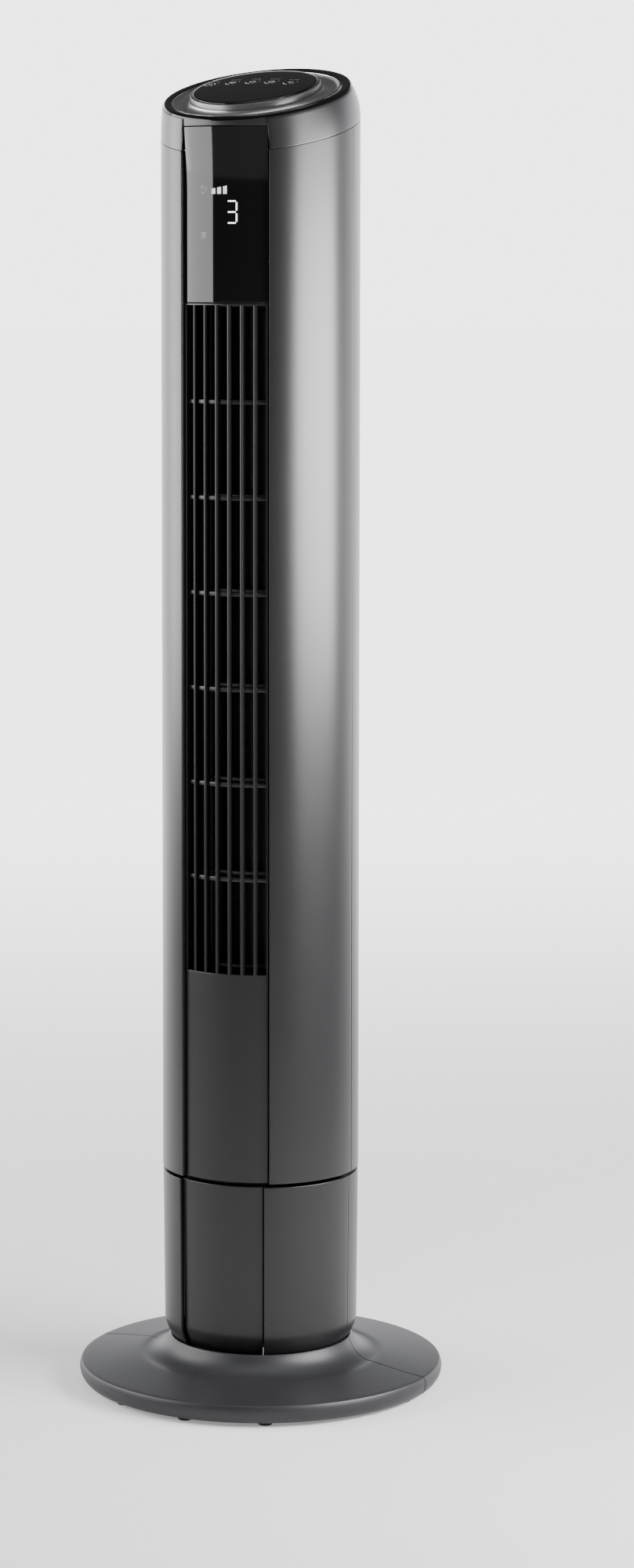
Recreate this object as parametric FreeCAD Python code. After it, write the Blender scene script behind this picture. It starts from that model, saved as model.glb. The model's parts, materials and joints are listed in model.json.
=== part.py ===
"""A free-standing tower fan, built as it would come apart on a bench.

A round column stands on a flat base made of two identical halves. The upper column, the head, turns on a
swivel post in the stand and holds a crossflow blower behind a slatted front outlet. A sloping top carries
the touch controls, and a smoked window above the outlet carries the display.

Frame: millimetres, +Z up, origin on the floor under the middle of the base. The stand's front faces -Y.
Angles called "around" are degrees from the front, positive towards +X. Head parts are drawn facing -Y too,
and are turned together by HEAD_TURN when they are written.
"""

import math
import os

import FreeCAD, Part

V = FreeCAD.Vector

# ---- driving dimensions -------------------------------------------------------------------------------
HEIGHT = 937.0              # floor to the top of the bezel, at the rear
BASE_R = 130.0
COLUMN_R = 70.0
WALL = 2.5
RECESS = 3.0                # how far the front strip lies inside the column's surface
STRIP_HALF = 28.4           # half of the strip's slot, degrees around
STRIP_GAP = 0.5             # gap each side of the strip, degrees around
HEAD_TURN = 3.0             # the head rests this far past the stand's front, degrees
HEAD_Z = 157.0              # bottom edge of the head
STAND_TOP_Z = 154.4
SEAM_TILT = 15.3            # slope of the cut between the head shells and the cap, degrees
SEAM_Z = 893.5              # height of that cut on the column's axis
TOP_TILT = 17.0             # slope of the control panel, degrees
OUTLET_Z0, OUTLET_Z1 = 304.6, 770.2
BAYS = 7                    # outlet bays between the cross ribs
SLATS = 6
SLAT_PITCH = 7.9            # degrees around
CLEAR = 0.3                 # general clearance between bodies that move past each other

# ---- worked out from them -----------------------------------------------------------------------------
INNER_R = COLUMN_R - WALL
STRIP_R = COLUMN_R - RECESS
STRIP_IN = STRIP_R - 2.4
WEB_OUT = STRIP_IN - 0.2    # the front shell's web lies right behind the strip
WEB_IN = WEB_OUT - 2.0
STRIP_A = STRIP_HALF - STRIP_GAP
BAY = (OUTLET_Z1 - OUTLET_Z0) / BAYS
SLOPE = math.tan(math.radians(TOP_TILT))
BEZEL_R = 64.7              # crest of the bezel ring, in the sloping plane
BEZEL_FOOT_R = 66.7         # where the bezel meets the cap's wall
BEZEL_Y = -6.5              # the bezel's centre, in front of the axis
DISH_R = 58.5
DISH_Y = -8.5               # the dish and the panel are a little further forward than the bezel
CREST_Z = HEIGHT - SLOPE * (BEZEL_Y + BEZEL_R * math.cos(math.radians(TOP_TILT)))   # crest plane, on the axis
FOOT_Z = CREST_Z - 2.6      # plane where the bezel stands on the cap, on the axis


def at(around, r, z=0.0):
    a = math.radians(around)
    return V(r * math.sin(a), -r * math.cos(a), z)


def cyl(r, z0, z1, x=0.0, y=0.0):
    return Part.makeCylinder(r, z1 - z0, V(x, y, z0))


def ring(r_out, r_in, z0, z1, x=0.0, y=0.0):
    return cyl(r_out, z0, z1, x, y).cut(cyl(r_in, z0 - 1, z1 + 1, x, y))


def box(x0, x1, y0, y1, z0, z1):
    return Part.makeBox(x1 - x0, y1 - y0, z1 - z0, V(x0, y0, z0))


def rod(r, p, q):
    """A cylinder from point p to point q."""
    return Part.makeCylinder(r, (q - p).Length, p, q - p)


def sector(a0, a1, r_in, r_out, z0, z1):
    """A piece of a tube between two angles around."""
    mid = (a0 + a1) / 2
    edges = [
        Part.Arc(at(a0, r_out), at(mid, r_out), at(a1, r_out)).toShape(),
        Part.makeLine(at(a1, r_out), at(a1, r_in)),
        Part.Arc(at(a1, r_in), at(mid, r_in), at(a0, r_in)).toShape(),
        Part.makeLine(at(a0, r_in), at(a0, r_out)),
    ]
    face = Part.Face(Part.Wire(edges))
    face.translate(V(0, 0, z0))
    return face.extrude(V(0, 0, z1 - z0))


def prism(points, z0, z1):
    outline = Part.makePolygon([V(x, y, z0) for x, y in points] + [V(points[0][0], points[0][1], z0)])
    return Part.Face(outline).extrude(V(0, 0, z1 - z0))


def turned(edges):
    """The solid swept by a closed outline in the XZ plane about the Z axis."""
    face = Part.Face(Part.Wire(edges))
    swept = face.revolve(V(0, 0, 0), V(0, 0, 1), 360)
    return swept if swept.Volume > 0 else face.revolve(V(0, 0, 0), V(0, 0, -1), 360)


def p2(r, z):
    return V(r, 0, z)


def line(a, b):
    return Part.makeLine(p2(*a), p2(*b))


def arc(a, b, c):
    return Part.Arc(p2(*a), p2(*b), p2(*c)).toShape()


def closed_lines(points):
    return [line(a, b) for a, b in zip(points, points[1:] + points[:1])]


def below(z_axis, tilt):
    """Everything under a plane that crosses the axis at z_axis and rises towards the rear by tilt."""
    size = 2400.0
    block = Part.makeBox(size, size, size, V(-size / 2, -size / 2, -size))
    block.rotate(V(0, 0, 0), V(1, 0, 0), tilt)
    block.translate(V(0, 0, z_axis))
    return block


def on_slope(shape, y=DISH_Y, z_axis=None):
    """Moves a shape drawn flat about the origin onto the sloping top, centred y in front of the axis."""
    base = CREST_Z if z_axis is None else z_axis
    placed = shape.copy()
    placed.rotate(V(0, 0, 0), V(1, 0, 0), TOP_TILT)
    placed.translate(V(0, y, base + SLOPE * y))
    return placed


def merged(shapes):
    return shapes[0].fuse(shapes[1:]).removeSplitter()


def screw(p, direction, length, r=1.5, head_r=3.2, head_h=2.2):
    """A pan-head screw whose head sits on p and whose shank runs along direction."""
    d = V(direction).normalize()
    shank = rod(r, p, p + d * length)
    head = rod(head_r, p - d * head_h, p)
    slot = Part.makeBox(head_r * 1.3, 0.9, 1.0, V(-head_r * 0.65, -0.45, 0))
    cross = slot.fuse(slot.copy().rotate(V(0, 0, 0), V(0, 0, 1), 90))
    cross.Placement = FreeCAD.Placement(p - d * head_h, FreeCAD.Rotation(V(0, 0, 1), d))
    return head.fuse(shank).cut(cross)


# ---- side screws, which join the rear shells to the front shells --------------------------------------
BOSS_X = 60.5
BOSS_R = 4.0
BOSS_SPLIT_Y = 6.0
SEAT_Y = 18.0
HEAD_BOSS_Z = (185.0, 372.0, 540.0, 705.0, 860.0)
STAND_BOSS_Z = (68.0, 136.0)


def front_bosses(heights, inner_r):
    """Bosses on the inside of a front shell, each tied to the wall by a web."""
    found = []
    for z in heights:
        for side in (-1, 1):
            x = side * BOSS_X
            boss = rod(BOSS_R, V(x, -8, z), V(x, BOSS_SPLIT_Y, z))
            web = box(min(x, x + side * 8), max(x, x + side * 8), -8, -0.2, z - 1.2, z + 1.2)
            pilot = rod(1.4, V(x, -7, z), V(x, BOSS_SPLIT_Y + 1, z))
            kept = boss.fuse(web.common(cyl(inner_r + 0.3, z - 5, z + 5))).cut(pilot)
            found.append(kept)
    return found


def rear_bosses(heights, outer_r):
    """Tubes on the inside of a rear shell, and the cutters for their screw holes."""
    tubes, holes = [], []
    for z in heights:
        for side in (-1, 1):
            x = side * BOSS_X
            tube = rod(BOSS_R, V(x, BOSS_SPLIT_Y + 0.2, z), V(x, 40, z))
            tubes.append(tube.common(cyl(outer_r - 0.8, z - 5, z + 5)))
            holes.append(rod(1.9, V(x, 0, z), V(x, 45, z)))
            holes.append(rod(3.5, V(x, SEAT_Y, z), V(x, 45, z)))
    return tubes, holes


def side_screws(heights):
    found = []
    for z in heights:
        for side in (-1, 1):
            found.append(screw(V(side * BOSS_X, SEAT_Y, z), V(0, -1, 0), 22.0, r=1.35))
    return Part.makeCompound(found)


# ---- base: two identical halves, feet and screws ------------------------------------------------------
RIM_TOP = (128.6, 15.8)
COLLAR_R = 64.8
COLLAR_Z = 34.0
SHELF_Z0, SHELF_Z1 = 12.4, 15.0
FOOT_R = 5.5
FEET_AT_R = 117.5
FEET_AROUND = (-85.0, -28.0, 0.0, 28.0, 85.0)      # on each half
BASE_SCREW_R = 50.0
SEAM_SWEEP = 13.6           # how far the seam between the halves sweeps sideways on its way in


def base_skin():
    outline = [
        arc((126.6, 3.0), (BASE_R, 9.6), RIM_TOP),
        line(RIM_TOP, (86.0, 20.6)),
        arc((86.0, 20.6), (72.4, 23.9), (66.0, 32.0)),
        arc((66.0, 32.0), (65.6, 33.6), (COLLAR_R - 0.2, COLLAR_Z)),
        line((COLLAR_R - 0.2, COLLAR_Z), (63.2, COLLAR_Z - 1.0)),
        line((63.2, COLLAR_Z - 1.0), (63.2, SHELF_Z1)),
        line((63.2, SHELF_Z1), (36.0, SHELF_Z1)),
        line((36.0, SHELF_Z1), (36.0, SHELF_Z0)),
        line((36.0, SHELF_Z0), (65.6, SHELF_Z0)),
        line((65.6, SHELF_Z0), (65.6, 25.5)),
        line((65.6, 25.5), (70.6, 20.8)),
        line((70.6, 20.8), (86.0, 18.0)),
        line((86.0, 18.0), (125.2, 13.9)),
        arc((125.2, 13.9), (127.4, 9.6), (123.6, 3.0)),
        line((123.6, 3.0), (126.6, 3.0)),
    ]
    return turned(outline)


def base_cavity():
    """The hollow under the skin, which ribs and foot pads fill in places."""
    outline = closed_lines([(65.6, 5.5), (65.6, 25.5), (70.6, 20.8), (86.0, 18.0), (125.2, 13.9), (124.6, 5.5)])
    return turned(outline)


def rear_side(gap):
    """Plan region behind the swept seam, moved back by gap. It is the same after half a turn."""
    reach = 150.0
    bend_r = (66.0**2 + SEAM_SWEEP**2) / (2 * SEAM_SWEEP)

    def swept(x):
        return bend_r - math.sqrt(bend_r**2 - (BASE_R - x) ** 2)

    inner = V(62.0, swept(62.0), 0)
    middle = V(98.0, swept(98.0), 0)
    outer = V(BASE_R, 0, 0)
    edges = [
        Part.makeLine(V(reach, 0, 0), outer),
        Part.Arc(outer, middle, inner).toShape(),
        Part.makeLine(inner, inner * -1),
        Part.Arc(inner * -1, middle * -1, outer * -1).toShape(),
        Part.makeLine(outer * -1, V(-reach, 0, 0)),
        Part.makeLine(V(-reach, 0, 0), V(-reach, reach, 0)),
        Part.makeLine(V(-reach, reach, 0), V(reach, reach, 0)),
        Part.makeLine(V(reach, reach, 0), V(reach, 0, 0)),
    ]
    face = Part.Face(Part.Wire(edges))
    face.translate(V(0, gap, -1))
    return face.extrude(V(0, 0, 60))


def base_half():
    """The front half. The rear half is the same moulding turned round."""
    ribs = [box(66.0, 126.0, -1.0, 1.0, 5.5, 30.0) for _ in range(9)]
    for k, rib in enumerate(ribs):
        rib.rotate(V(0, 0, 0), V(0, 0, 1), -90 + (k - 4) * 19.0)
    pads = [cyl(FOOT_R + 1.5, 3.2, 30.0, *at(a, FEET_AT_R)[:2]) for a in FEET_AROUND]
    hollow = base_cavity()
    pad_room = turned(closed_lines([(100.0, 3.2), (100.0, 16.4), (125.2, 13.9), (124.0, 3.2)]))
    filled = [hollow.common(rib) for rib in ribs] + [pad_room.common(pad) for pad in pads]
    half = merged([base_skin()] + filled)
    holes = [cyl(2.3, 0, 20, *at(a, BASE_SCREW_R)[:2]) for a in (-45, 45)]
    half = half.cut(holes).cut(rear_side(-0.2))
    return max(half.Solids, key=lambda s: s.Volume)


def base_feet():
    found = []
    for half in (0, 180):
        for a in FEET_AROUND:
            p = at(a + half, FEET_AT_R)
            found.append(Part.makeCone(FOOT_R - 0.8, FOOT_R, 3.2, p))
    return Part.makeCompound(found)


def base_screws():
    places = [at(a, BASE_SCREW_R, SHELF_Z0) for a in (-135, -45, 45, 135)]
    return Part.makeCompound([screw(p, V(0, 0, 1), 14.0, r=1.8, head_r=5.0, head_h=2.6) for p in places])


# ---- stand column -------------------------------------------------------------------------------------
STAND_R0, STAND_R1 = 68.8, 69.7     # drafted a little, narrower at the bottom
STAND_BEND_Z = 50.0
STAND_NECK_R = 62.6
STAND_FOOT_Z = 15.4


def stand_wall(inset, thickness):
    """The stand's drafted wall with its rounded foot, inset from the outer surface."""
    def side(d):
        return [(STAND_R1 - d, STAND_TOP_Z), (STAND_R0 - d, STAND_BEND_Z), (STAND_NECK_R - d, 33.0)]

    a0, a1, a2 = side(inset)
    b0, b1, b2 = side(inset + thickness)
    bend_a = (a1[0] - 1.9, 40.0)
    bend_b = (b1[0] - 1.9, 41.0)
    return turned([
        line(a0, a1),
        arc(a1, bend_a, a2),
        line(a2, (a2[0], STAND_FOOT_Z)),
        line((a2[0], STAND_FOOT_Z), (b2[0], STAND_FOOT_Z)),
        line((b2[0], STAND_FOOT_Z), b2),
        arc(b2, bend_b, b1),
        line(b1, b0),
        line(b0, a0),
    ])


def stand_front_shell():
    wall = stand_wall(0.0, WALL)
    sides = [wall.common(sector(a0, a1, 20, 90, 0, 170)) for a0, a1 in ((-90, -STRIP_HALF), (STRIP_HALF, 90))]
    reach = 1.4             # thickness of the flanges beside the strip, degrees around
    lips = []
    for sign in (-1, 1):
        a0, a1 = sorted((sign * STRIP_HALF, sign * (STRIP_HALF + reach)))
        lips.append(sector(a0, a1, 61.6, STAND_R0 - 1.5, 54.0, STAND_TOP_Z))
    back = sector(-STRIP_HALF - reach, STRIP_HALF + reach, 61.6, 63.2, 54.0, STAND_TOP_Z)
    return merged(sides + lips + [back] + front_bosses(STAND_BOSS_Z, STAND_R1 - WALL))


def stand_front_panel():
    return stand_wall(RECESS, 2.2).common(sector(-STRIP_A, STRIP_A, 20, 90, 0, 170))


GLAND_Z = 62.0


def stand_rear_shell():
    wall = stand_wall(0.0, WALL).common(sector(90.15, 269.85, 20, 90, 0, 170))
    tubes, holes = rear_bosses(STAND_BOSS_Z, STAND_R0)
    holes.append(rod(6.0, V(0, 50, GLAND_Z), V(0, 80, GLAND_Z)))
    return merged([wall] + tubes).cut(holes)


def cord_gland():
    """The rubber bush that the mains lead would pass through."""
    wall_y = STAND_R0 + 0.2
    body = rod(5.9, V(0, wall_y - 8, GLAND_Z), V(0, wall_y + 1, GLAND_Z))
    inside = rod(8.0, V(0, wall_y - 8, GLAND_Z), V(0, wall_y - 4.2, GLAND_Z))
    outside = Part.makeCone(8.2, 6.6, 3.4, V(0, wall_y + 0.6, GLAND_Z), V(0, 1, 0))
    bore = rod(3.4, V(0, wall_y - 12, GLAND_Z), V(0, wall_y + 12, GLAND_Z))
    return merged([body, inside, outside]).cut(bore)


def stand_floor():
    plate = cyl(STAND_NECK_R - WALL - 0.1, STAND_FOOT_Z, STAND_FOOT_Z + 2.8)
    plate = plate.cut(sector(-STRIP_HALF - 1, STRIP_HALF + 1, 57.0, 80, 0, 40))
    bosses = [cyl(5.0, STAND_FOOT_Z, 33.0, *at(a, BASE_SCREW_R)[:2]) for a in (-135, -45, 45, 135)]
    pilots = [cyl(1.85, STAND_FOOT_Z - 1, 31.0, *at(a, BASE_SCREW_R)[:2]) for a in (-135, -45, 45, 135)]
    middle = cyl(22.0, STAND_FOOT_Z - 1, STAND_FOOT_Z + 4)
    return merged([plate] + bosses).cut(pilots + [middle])


# ---- swivel: turntable, thrust ring, gear, retainer ---------------------------------------------------
TABLE_Z0, TABLE_Z1 = 150.0, 153.0
PLATE_Z0, PLATE_Z1 = 158.0, 161.0      # the head's base plate
POST_R = 18.0
POST_BORE = 11.0
POST_TOP = 172.5
HUB_R = 22.5
MODULE = 1.0
SUN_TEETH = 60
PINION_TEETH = 20
GEAR_Z0, GEAR_Z1 = TABLE_Z1, 157.4
PINION_AROUND = 180.0
GEAR_CENTRES = MODULE * (SUN_TEETH + PINION_TEETH) / 2
TABLE_SCREW_R = 58.0


def gear_keys(half_width, reach, top):
    """Three keys on the post that stop the fixed gear turning."""
    keys = [box(-half_width, half_width, -reach, -POST_R + 1.0, TABLE_Z1 - 0.1, top) for _ in range(3)]
    for k, key in enumerate(keys):
        key.rotate(V(0, 0, 0), V(0, 0, 1), 120 * k)
    return keys


def turntable_plate():
    plate = cyl(STAND_R1 - WALL - 0.4, TABLE_Z0, TABLE_Z1)
    skirt = ring(60.6, 58.4, TABLE_Z0 - 8, TABLE_Z0)
    post = cyl(POST_R, TABLE_Z0, POST_TOP)
    spokes = [box(-1.2, 1.2, 16.0, 59.0, TABLE_Z0 - 8, TABLE_Z0) for _ in range(6)]
    for k, spoke in enumerate(spokes):
        spoke.rotate(V(0, 0, 0), V(0, 0, 1), 30 + 60 * k)
    notch = sector(-STRIP_HALF - 2.2, STRIP_HALF + 2.2, 61.2, 80, TABLE_Z0 - 10, TABLE_Z1 + 1)
    bore = cyl(POST_BORE, TABLE_Z0 - 10, POST_TOP + 1)
    pilots = [cyl(1.1, POST_TOP - 9, POST_TOP + 1, *at(a, 14.5)[:2]) for a in (0, 120, 240)]
    keys = gear_keys(1.5, POST_R + 2.4, GEAR_Z1 - 0.2)
    return merged([plate, skirt, post] + spokes + keys).cut([notch, bore] + pilots)


def thrust_ring():
    return ring(60.0, 54.0, TABLE_Z1, PLATE_Z0 - CLEAR)


def swivel_retainer():
    washer = ring(24.0, POST_BORE, POST_TOP, POST_TOP + 1.8)
    return washer.cut([cyl(1.6, POST_TOP - 1, POST_TOP + 4, *at(a, 14.5)[:2]) for a in (0, 120, 240)])


def retainer_screws():
    places = [at(a, 14.5, POST_TOP + 1.8) for a in (0, 120, 240)]
    return Part.makeCompound([screw(p, V(0, 0, -1), 8.0, r=1.05, head_r=2.4, head_h=1.8) for p in places])


def gear(teeth, phase, z0, z1, slack=0.12):
    """A spur gear with involute flanks of 20 degrees. A tooth is centred on phase, degrees from +X."""
    pitch_r = MODULE * teeth / 2
    root_r = pitch_r - 1.25 * MODULE
    tip_r = pitch_r + 0.95 * MODULE
    base_r = pitch_r * math.cos(math.radians(20))

    def spread(r):
        t = math.acos(min(1.0, base_r / max(r, base_r)))
        return math.tan(t) - t

    half_tooth = (math.pi * MODULE / 2 - slack) / (2 * pitch_r) + spread(pitch_r)
    start_r = max(base_r, root_r)
    radii = [start_r + (tip_r - start_r) * k / 4 for k in range(5)]

    def point(angle, r):
        return V(r * math.cos(angle), r * math.sin(angle), z0)

    def flank(centre, sign):
        points = [point(centre + sign * (half_tooth - spread(r)), r) for r in radii]
        curve = Part.BSplineCurve()
        curve.interpolate(points)
        return points, curve.toShape()

    edges = []
    step = 2 * math.pi / teeth
    for k in range(teeth):
        centre = math.radians(phase) + k * step
        left, left_edge = flank(centre, -1)
        right, right_edge = flank(centre, 1)
        foot_l = point(centre - half_tooth + spread(start_r), root_r)
        foot_r = point(centre + half_tooth - spread(start_r), root_r)
        if root_r < start_r - 1e-6:
            edges.append(Part.makeLine(foot_l, left[0]))
        edges.append(left_edge)
        edges.append(Part.Arc(left[-1], point(centre, tip_r), right[-1]).toShape())
        edges.append(right_edge)
        if root_r < start_r - 1e-6:
            edges.append(Part.makeLine(right[0], foot_r))
        else:
            foot_r = right[0]
        next_centre = centre + step
        next_l = point(next_centre - half_tooth + spread(start_r), min(root_r, start_r))
        edges.append(Part.Arc(foot_r, point(centre + step / 2, min(root_r, start_r)), next_l).toShape())
    wire = Part.Wire(Part.__sortEdges__(edges))
    return Part.Face(wire).extrude(V(0, 0, z1 - z0))


def fixed_gear():
    """Fixed to the turntable round the post. One tooth faces the pinion when the head is at rest."""
    toothed = gear(SUN_TEETH, PINION_AROUND - 90, GEAR_Z0, GEAR_Z1)
    ways = gear_keys(1.6, POST_R + 2.5, GEAR_Z1 + 1)
    for way in ways:
        way.rotate(V(0, 0, 0), V(0, 0, 1), -HEAD_TURN)
    return toothed.cut([cyl(POST_R + 0.1, GEAR_Z0 - 1, GEAR_Z1 + 1)] + ways)


def oscillation_pinion():
    centre = at(PINION_AROUND, GEAR_CENTRES)
    facing = PINION_AROUND - 90 + 180 + 180.0 / PINION_TEETH
    toothed = gear(PINION_TEETH, facing, GEAR_Z0 + 0.5, GEAR_Z1)
    toothed.translate(V(centre.x, centre.y, 0))
    shaft = cyl(2.5, GEAR_Z0 + 0.5, STEPPER_Z0 + 4.0, centre.x, centre.y)
    return toothed.fuse(shaft)


# ---- stepper motor that swings the head ---------------------------------------------------------------
STEPPER_Z0 = PLATE_Z1
STEPPER_OFFSET = 8.0        # its shaft is off the can's centre
STEPPER_R = 17.5


def stepper_motor():
    shaft = at(PINION_AROUND, GEAR_CENTRES)
    x, y = shaft.x + STEPPER_OFFSET, shaft.y + 1.5
    can = cyl(STEPPER_R, STEPPER_Z0, STEPPER_Z0 + 17.0, x, y)
    ears = box(x - 24.5, x + 24.5, y - 3.5, y + 3.5, STEPPER_Z0, STEPPER_Z0 + 1.0)
    block = box(x - 7.0, x + 7.0, y + 10, y + STEPPER_R + 1.8, STEPPER_Z0 + 1, STEPPER_Z0 + 13.0)
    bush_hole = cyl(2.55, STEPPER_Z0 - 1, STEPPER_Z0 + 4.3, shaft.x, shaft.y)
    ear_holes = [cyl(1.6, STEPPER_Z0 - 1, STEPPER_Z0 + 2, x + s * 21.0, y) for s in (-1, 1)]
    return merged([can, ears, block]).cut([bush_hole] + ear_holes)


def stepper_screws():
    shaft = at(PINION_AROUND, GEAR_CENTRES)
    x, y = shaft.x + STEPPER_OFFSET, shaft.y + 1.5
    places = [V(x + s * 21.0, y, STEPPER_Z0 + 1.0) for s in (-1, 1)]
    return Part.makeCompound([screw(p, V(0, 0, -1), 3.5, r=1.3, head_r=2.6, head_h=1.6) for p in places])


# ---- head: shells, plates, outlet and intake grilles --------------------------------------------------
def inner_disc(z0, z1):
    """A round plate that fits inside the head shells and round the front strip's flanges."""
    return cyl(INNER_R - 0.05, z0, z1).cut(sector(-STRIP_HALF - 2.4, STRIP_HALF + 2.4, WEB_IN - 0.4, 90, z0 - 1, z1 + 1))


def boss_room(z0, z1):
    """Notches in a plate, where the side bosses would pass."""
    return [box(s * BOSS_X - 5.5, s * BOSS_X + 9, -10, 40, z0, z1) for s in (-1, 1)]


def head_base_plate():
    plate = inner_disc(PLATE_Z0, PLATE_Z1)
    hub = cyl(HUB_R, PLATE_Z0, POST_TOP - CLEAR)
    bore = cyl(POST_R + 0.05, PLATE_Z0 - 1, POST_TOP + 1)
    shaft = at(PINION_AROUND, GEAR_CENTRES)
    x, y = shaft.x + STEPPER_OFFSET, shaft.y + 1.5
    shaft_hole = cyl(3.2, PLATE_Z0 - 1, PLATE_Z1 + 1, shaft.x, shaft.y)
    pilots = [cyl(1.4, PLATE_Z0 - 1, PLATE_Z1 + 1, x + s * 21.0, y) for s in (-1, 1)]
    posts = [cyl(4.5, PLATE_Z1, 203.0, *at(a, 52.0)[:2]) for a in BRACKET_AROUND]
    post_pilots = [cyl(1.4, 190.0, 204.0, *at(a, 52.0)[:2]) for a in BRACKET_AROUND]
    return merged([plate, hub] + posts).cut([bore, shaft_hole] + pilots + post_pilots)


def head_front_shell():
    tube = ring(COLUMN_R, INNER_R, HEAD_Z, 960)
    sides = [tube.common(sector(a0, a1, 50, 90, HEAD_Z, 960)) for a0, a1 in ((-90, -STRIP_HALF), (STRIP_HALF, 90))]
    reach = 1.5
    parts = list(sides)
    for sign in (-1, 1):
        a0, a1 = sorted((sign * STRIP_HALF, sign * (STRIP_HALF + reach)))
        parts.append(sector(a0, a1, WEB_IN, INNER_R + 0.5, HEAD_Z, 960))
    wide = STRIP_HALF + reach
    parts.append(sector(-wide, wide, WEB_IN, WEB_OUT, HEAD_Z, OUTLET_Z0 - 6))
    parts.append(sector(-wide, wide, WEB_IN, WEB_OUT, OUTLET_Z1 + 6, 960))
    shell = merged(parts).common(below(SEAM_Z - 0.35, SEAM_TILT))
    posts = []
    for x in (-20, 20):
        for z in (803.0, 863.0):
            posts.append(rod(2.5, V(x, -WEB_IN + 2.0, z), V(x, BOARD_Y - 0.05, z)))
    shell = merged([shell] + front_bosses(HEAD_BOSS_Z, INNER_R) + posts)
    display_hole = box(-25.0, 25.0, -80, -50, 806.0, 860.0)
    return shell.cut(display_hole)


INTAKE_HALF = 50.0
INTAKE_Z0, INTAKE_Z1 = 310.0, 765.0
VENT_Z = (216.0, 237.5, 259.0)          # cooling slots beside the motor
VENT_FROM, VENT_TO = 113.0, 150.0
VENT_H = 3.0
HANDLE_Z0, HANDLE_Z1 = 800.0, 838.0
HANDLE_X = 42.0
HANDLE_Y = 38.0


def head_rear_shell():
    wall = ring(COLUMN_R, INNER_R, HEAD_Z, 960).common(sector(90.15, 269.85, 50, 90, HEAD_Z, 960))
    wall = wall.common(below(SEAM_Z - 0.35, SEAM_TILT))
    opening = sector(180 - INTAKE_HALF, 180 + INTAKE_HALF, INNER_R, 90, INTAKE_Z0, INTAKE_Z1)
    ledge = sector(180 - INTAKE_HALF - 3, 180 + INTAKE_HALF + 3, INNER_R - 2, INNER_R + 0.3, INTAKE_Z0 - 4, INTAKE_Z1 + 4)
    hollow = sector(180 - INTAKE_HALF + 2, 180 + INTAKE_HALF - 2, 50, 90, INTAKE_Z0 + 4, INTAKE_Z1 - 4)
    grip = box(-HANDLE_X, HANDLE_X, 30, 90, HANDLE_Z0, HANDLE_Z1)
    tubes, holes = rear_bosses(HEAD_BOSS_Z, COLUMN_R)
    posts = [rod(2.5, V(x, POWER_Y + 1.65, z), V(x, 63.0, z)) for x in (-27, 27) for z in (212.0, 282.0)]
    vents = []
    for z in VENT_Z:
        for a0 in (VENT_FROM, 360 - VENT_TO):
            vents.append(sector(a0, a0 + VENT_TO - VENT_FROM, 60, 90, z - VENT_H / 2, z + VENT_H / 2))
    shell = merged([wall, ledge] + tubes + posts)
    return shell.cut([opening, hollow, grip] + vents + holes)


def handle_cup():
    """The grip at the back: a box let into the rear shell."""
    x, z0, z1 = HANDLE_X - 0.1, HANDLE_Z0 + 0.1, HANDLE_Z1 - 0.1
    outer = box(-x, x, HANDLE_Y, 80, z0, z1)
    inner = box(-x + 2, x - 2, HANDLE_Y + 2, 90, z0 + 2, z1 - 2)
    return outer.cut(inner).common(cyl(COLUMN_R, z0 - 1, z1 + 1))


SLOT_COLUMNS = 6
SLOT_PITCH = 7.5
SLOT_H = 4.4


def intake_grille():
    gap = 0.25
    half = INTAKE_HALF - gap
    panel = sector(180 - half, 180 + half, INNER_R + 0.1, COLUMN_R, INTAKE_Z0 + gap, INTAKE_Z1 - gap)
    rows = int((INTAKE_Z1 - INTAKE_Z0 - 2 * 9.0) // SLOT_PITCH)
    first = (INTAKE_Z0 + INTAKE_Z1) / 2 - (rows - 1) * SLOT_PITCH / 2
    width = (2 * half - 8.0) / SLOT_COLUMNS
    slots = []
    for c in range(SLOT_COLUMNS):
        a0 = 180 - half + 4.0 + c * width + 0.9
        for k in range(rows):
            z = first + k * SLOT_PITCH
            slots.append(sector(a0, a0 + width - 1.8, INNER_R - 3, COLUMN_R + 3, z - SLOT_H / 2, z + SLOT_H / 2))
    return panel.cut(slots)


SLAT_T = 1.5
SLAT_DEPTH = 5.0
RIB_H = 3.2


def outlet_grille():
    """The front strip below the window: a blank panel, side rails, upright slats and cross ribs behind."""
    z0, z1 = HEAD_Z + 0.4, OUTLET_Z1 + 1.4
    strip = sector(-STRIP_A, STRIP_A, STRIP_IN, STRIP_R, z0, z1)
    strip = strip.cut(sector(-STRIP_A + 1.0, STRIP_A - 1.0, 50, 90, OUTLET_Z0, OUTLET_Z1))
    between = ring(STRIP_R, STRIP_R - SLAT_DEPTH, OUTLET_Z0 - 1, OUTLET_Z1 + 0.5)
    parts = [strip]
    for k in range(SLATS):
        x = STRIP_R * math.sin(math.radians((k - (SLATS - 1) / 2) * SLAT_PITCH))
        blade = box(x - SLAT_T / 2, x + SLAT_T / 2, -80, -40, OUTLET_Z0 - 0.6, OUTLET_Z1 + 0.3)
        parts.append(blade.common(between))
    for sign in (-1, 1):
        a0, a1 = sorted((sign * STRIP_A, sign * (STRIP_A - 1.2)))
        parts.append(sector(a0, a1, STRIP_R - SLAT_DEPTH - 2.5, STRIP_R - 0.5, OUTLET_Z0 - 0.6, OUTLET_Z1 + 0.3))
    rib_out = STRIP_R - SLAT_DEPTH + 0.4
    for k in range(1, BAYS):
        z = OUTLET_Z0 + k * BAY
        parts.append(sector(-STRIP_A + 0.4, STRIP_A - 0.4, rib_out - 2.8, rib_out, z - RIB_H / 2, z + RIB_H / 2))
    return merged(parts)


WINDOW_Z0 = OUTLET_Z1 + 1.9
WINDOW_Z1 = 892.8


FLARE_Z0, FLARE_Z1 = 872.0, 902.0      # over this height the strip comes out level with the cap
FLARE_R = COLUMN_R - 0.1


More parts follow.
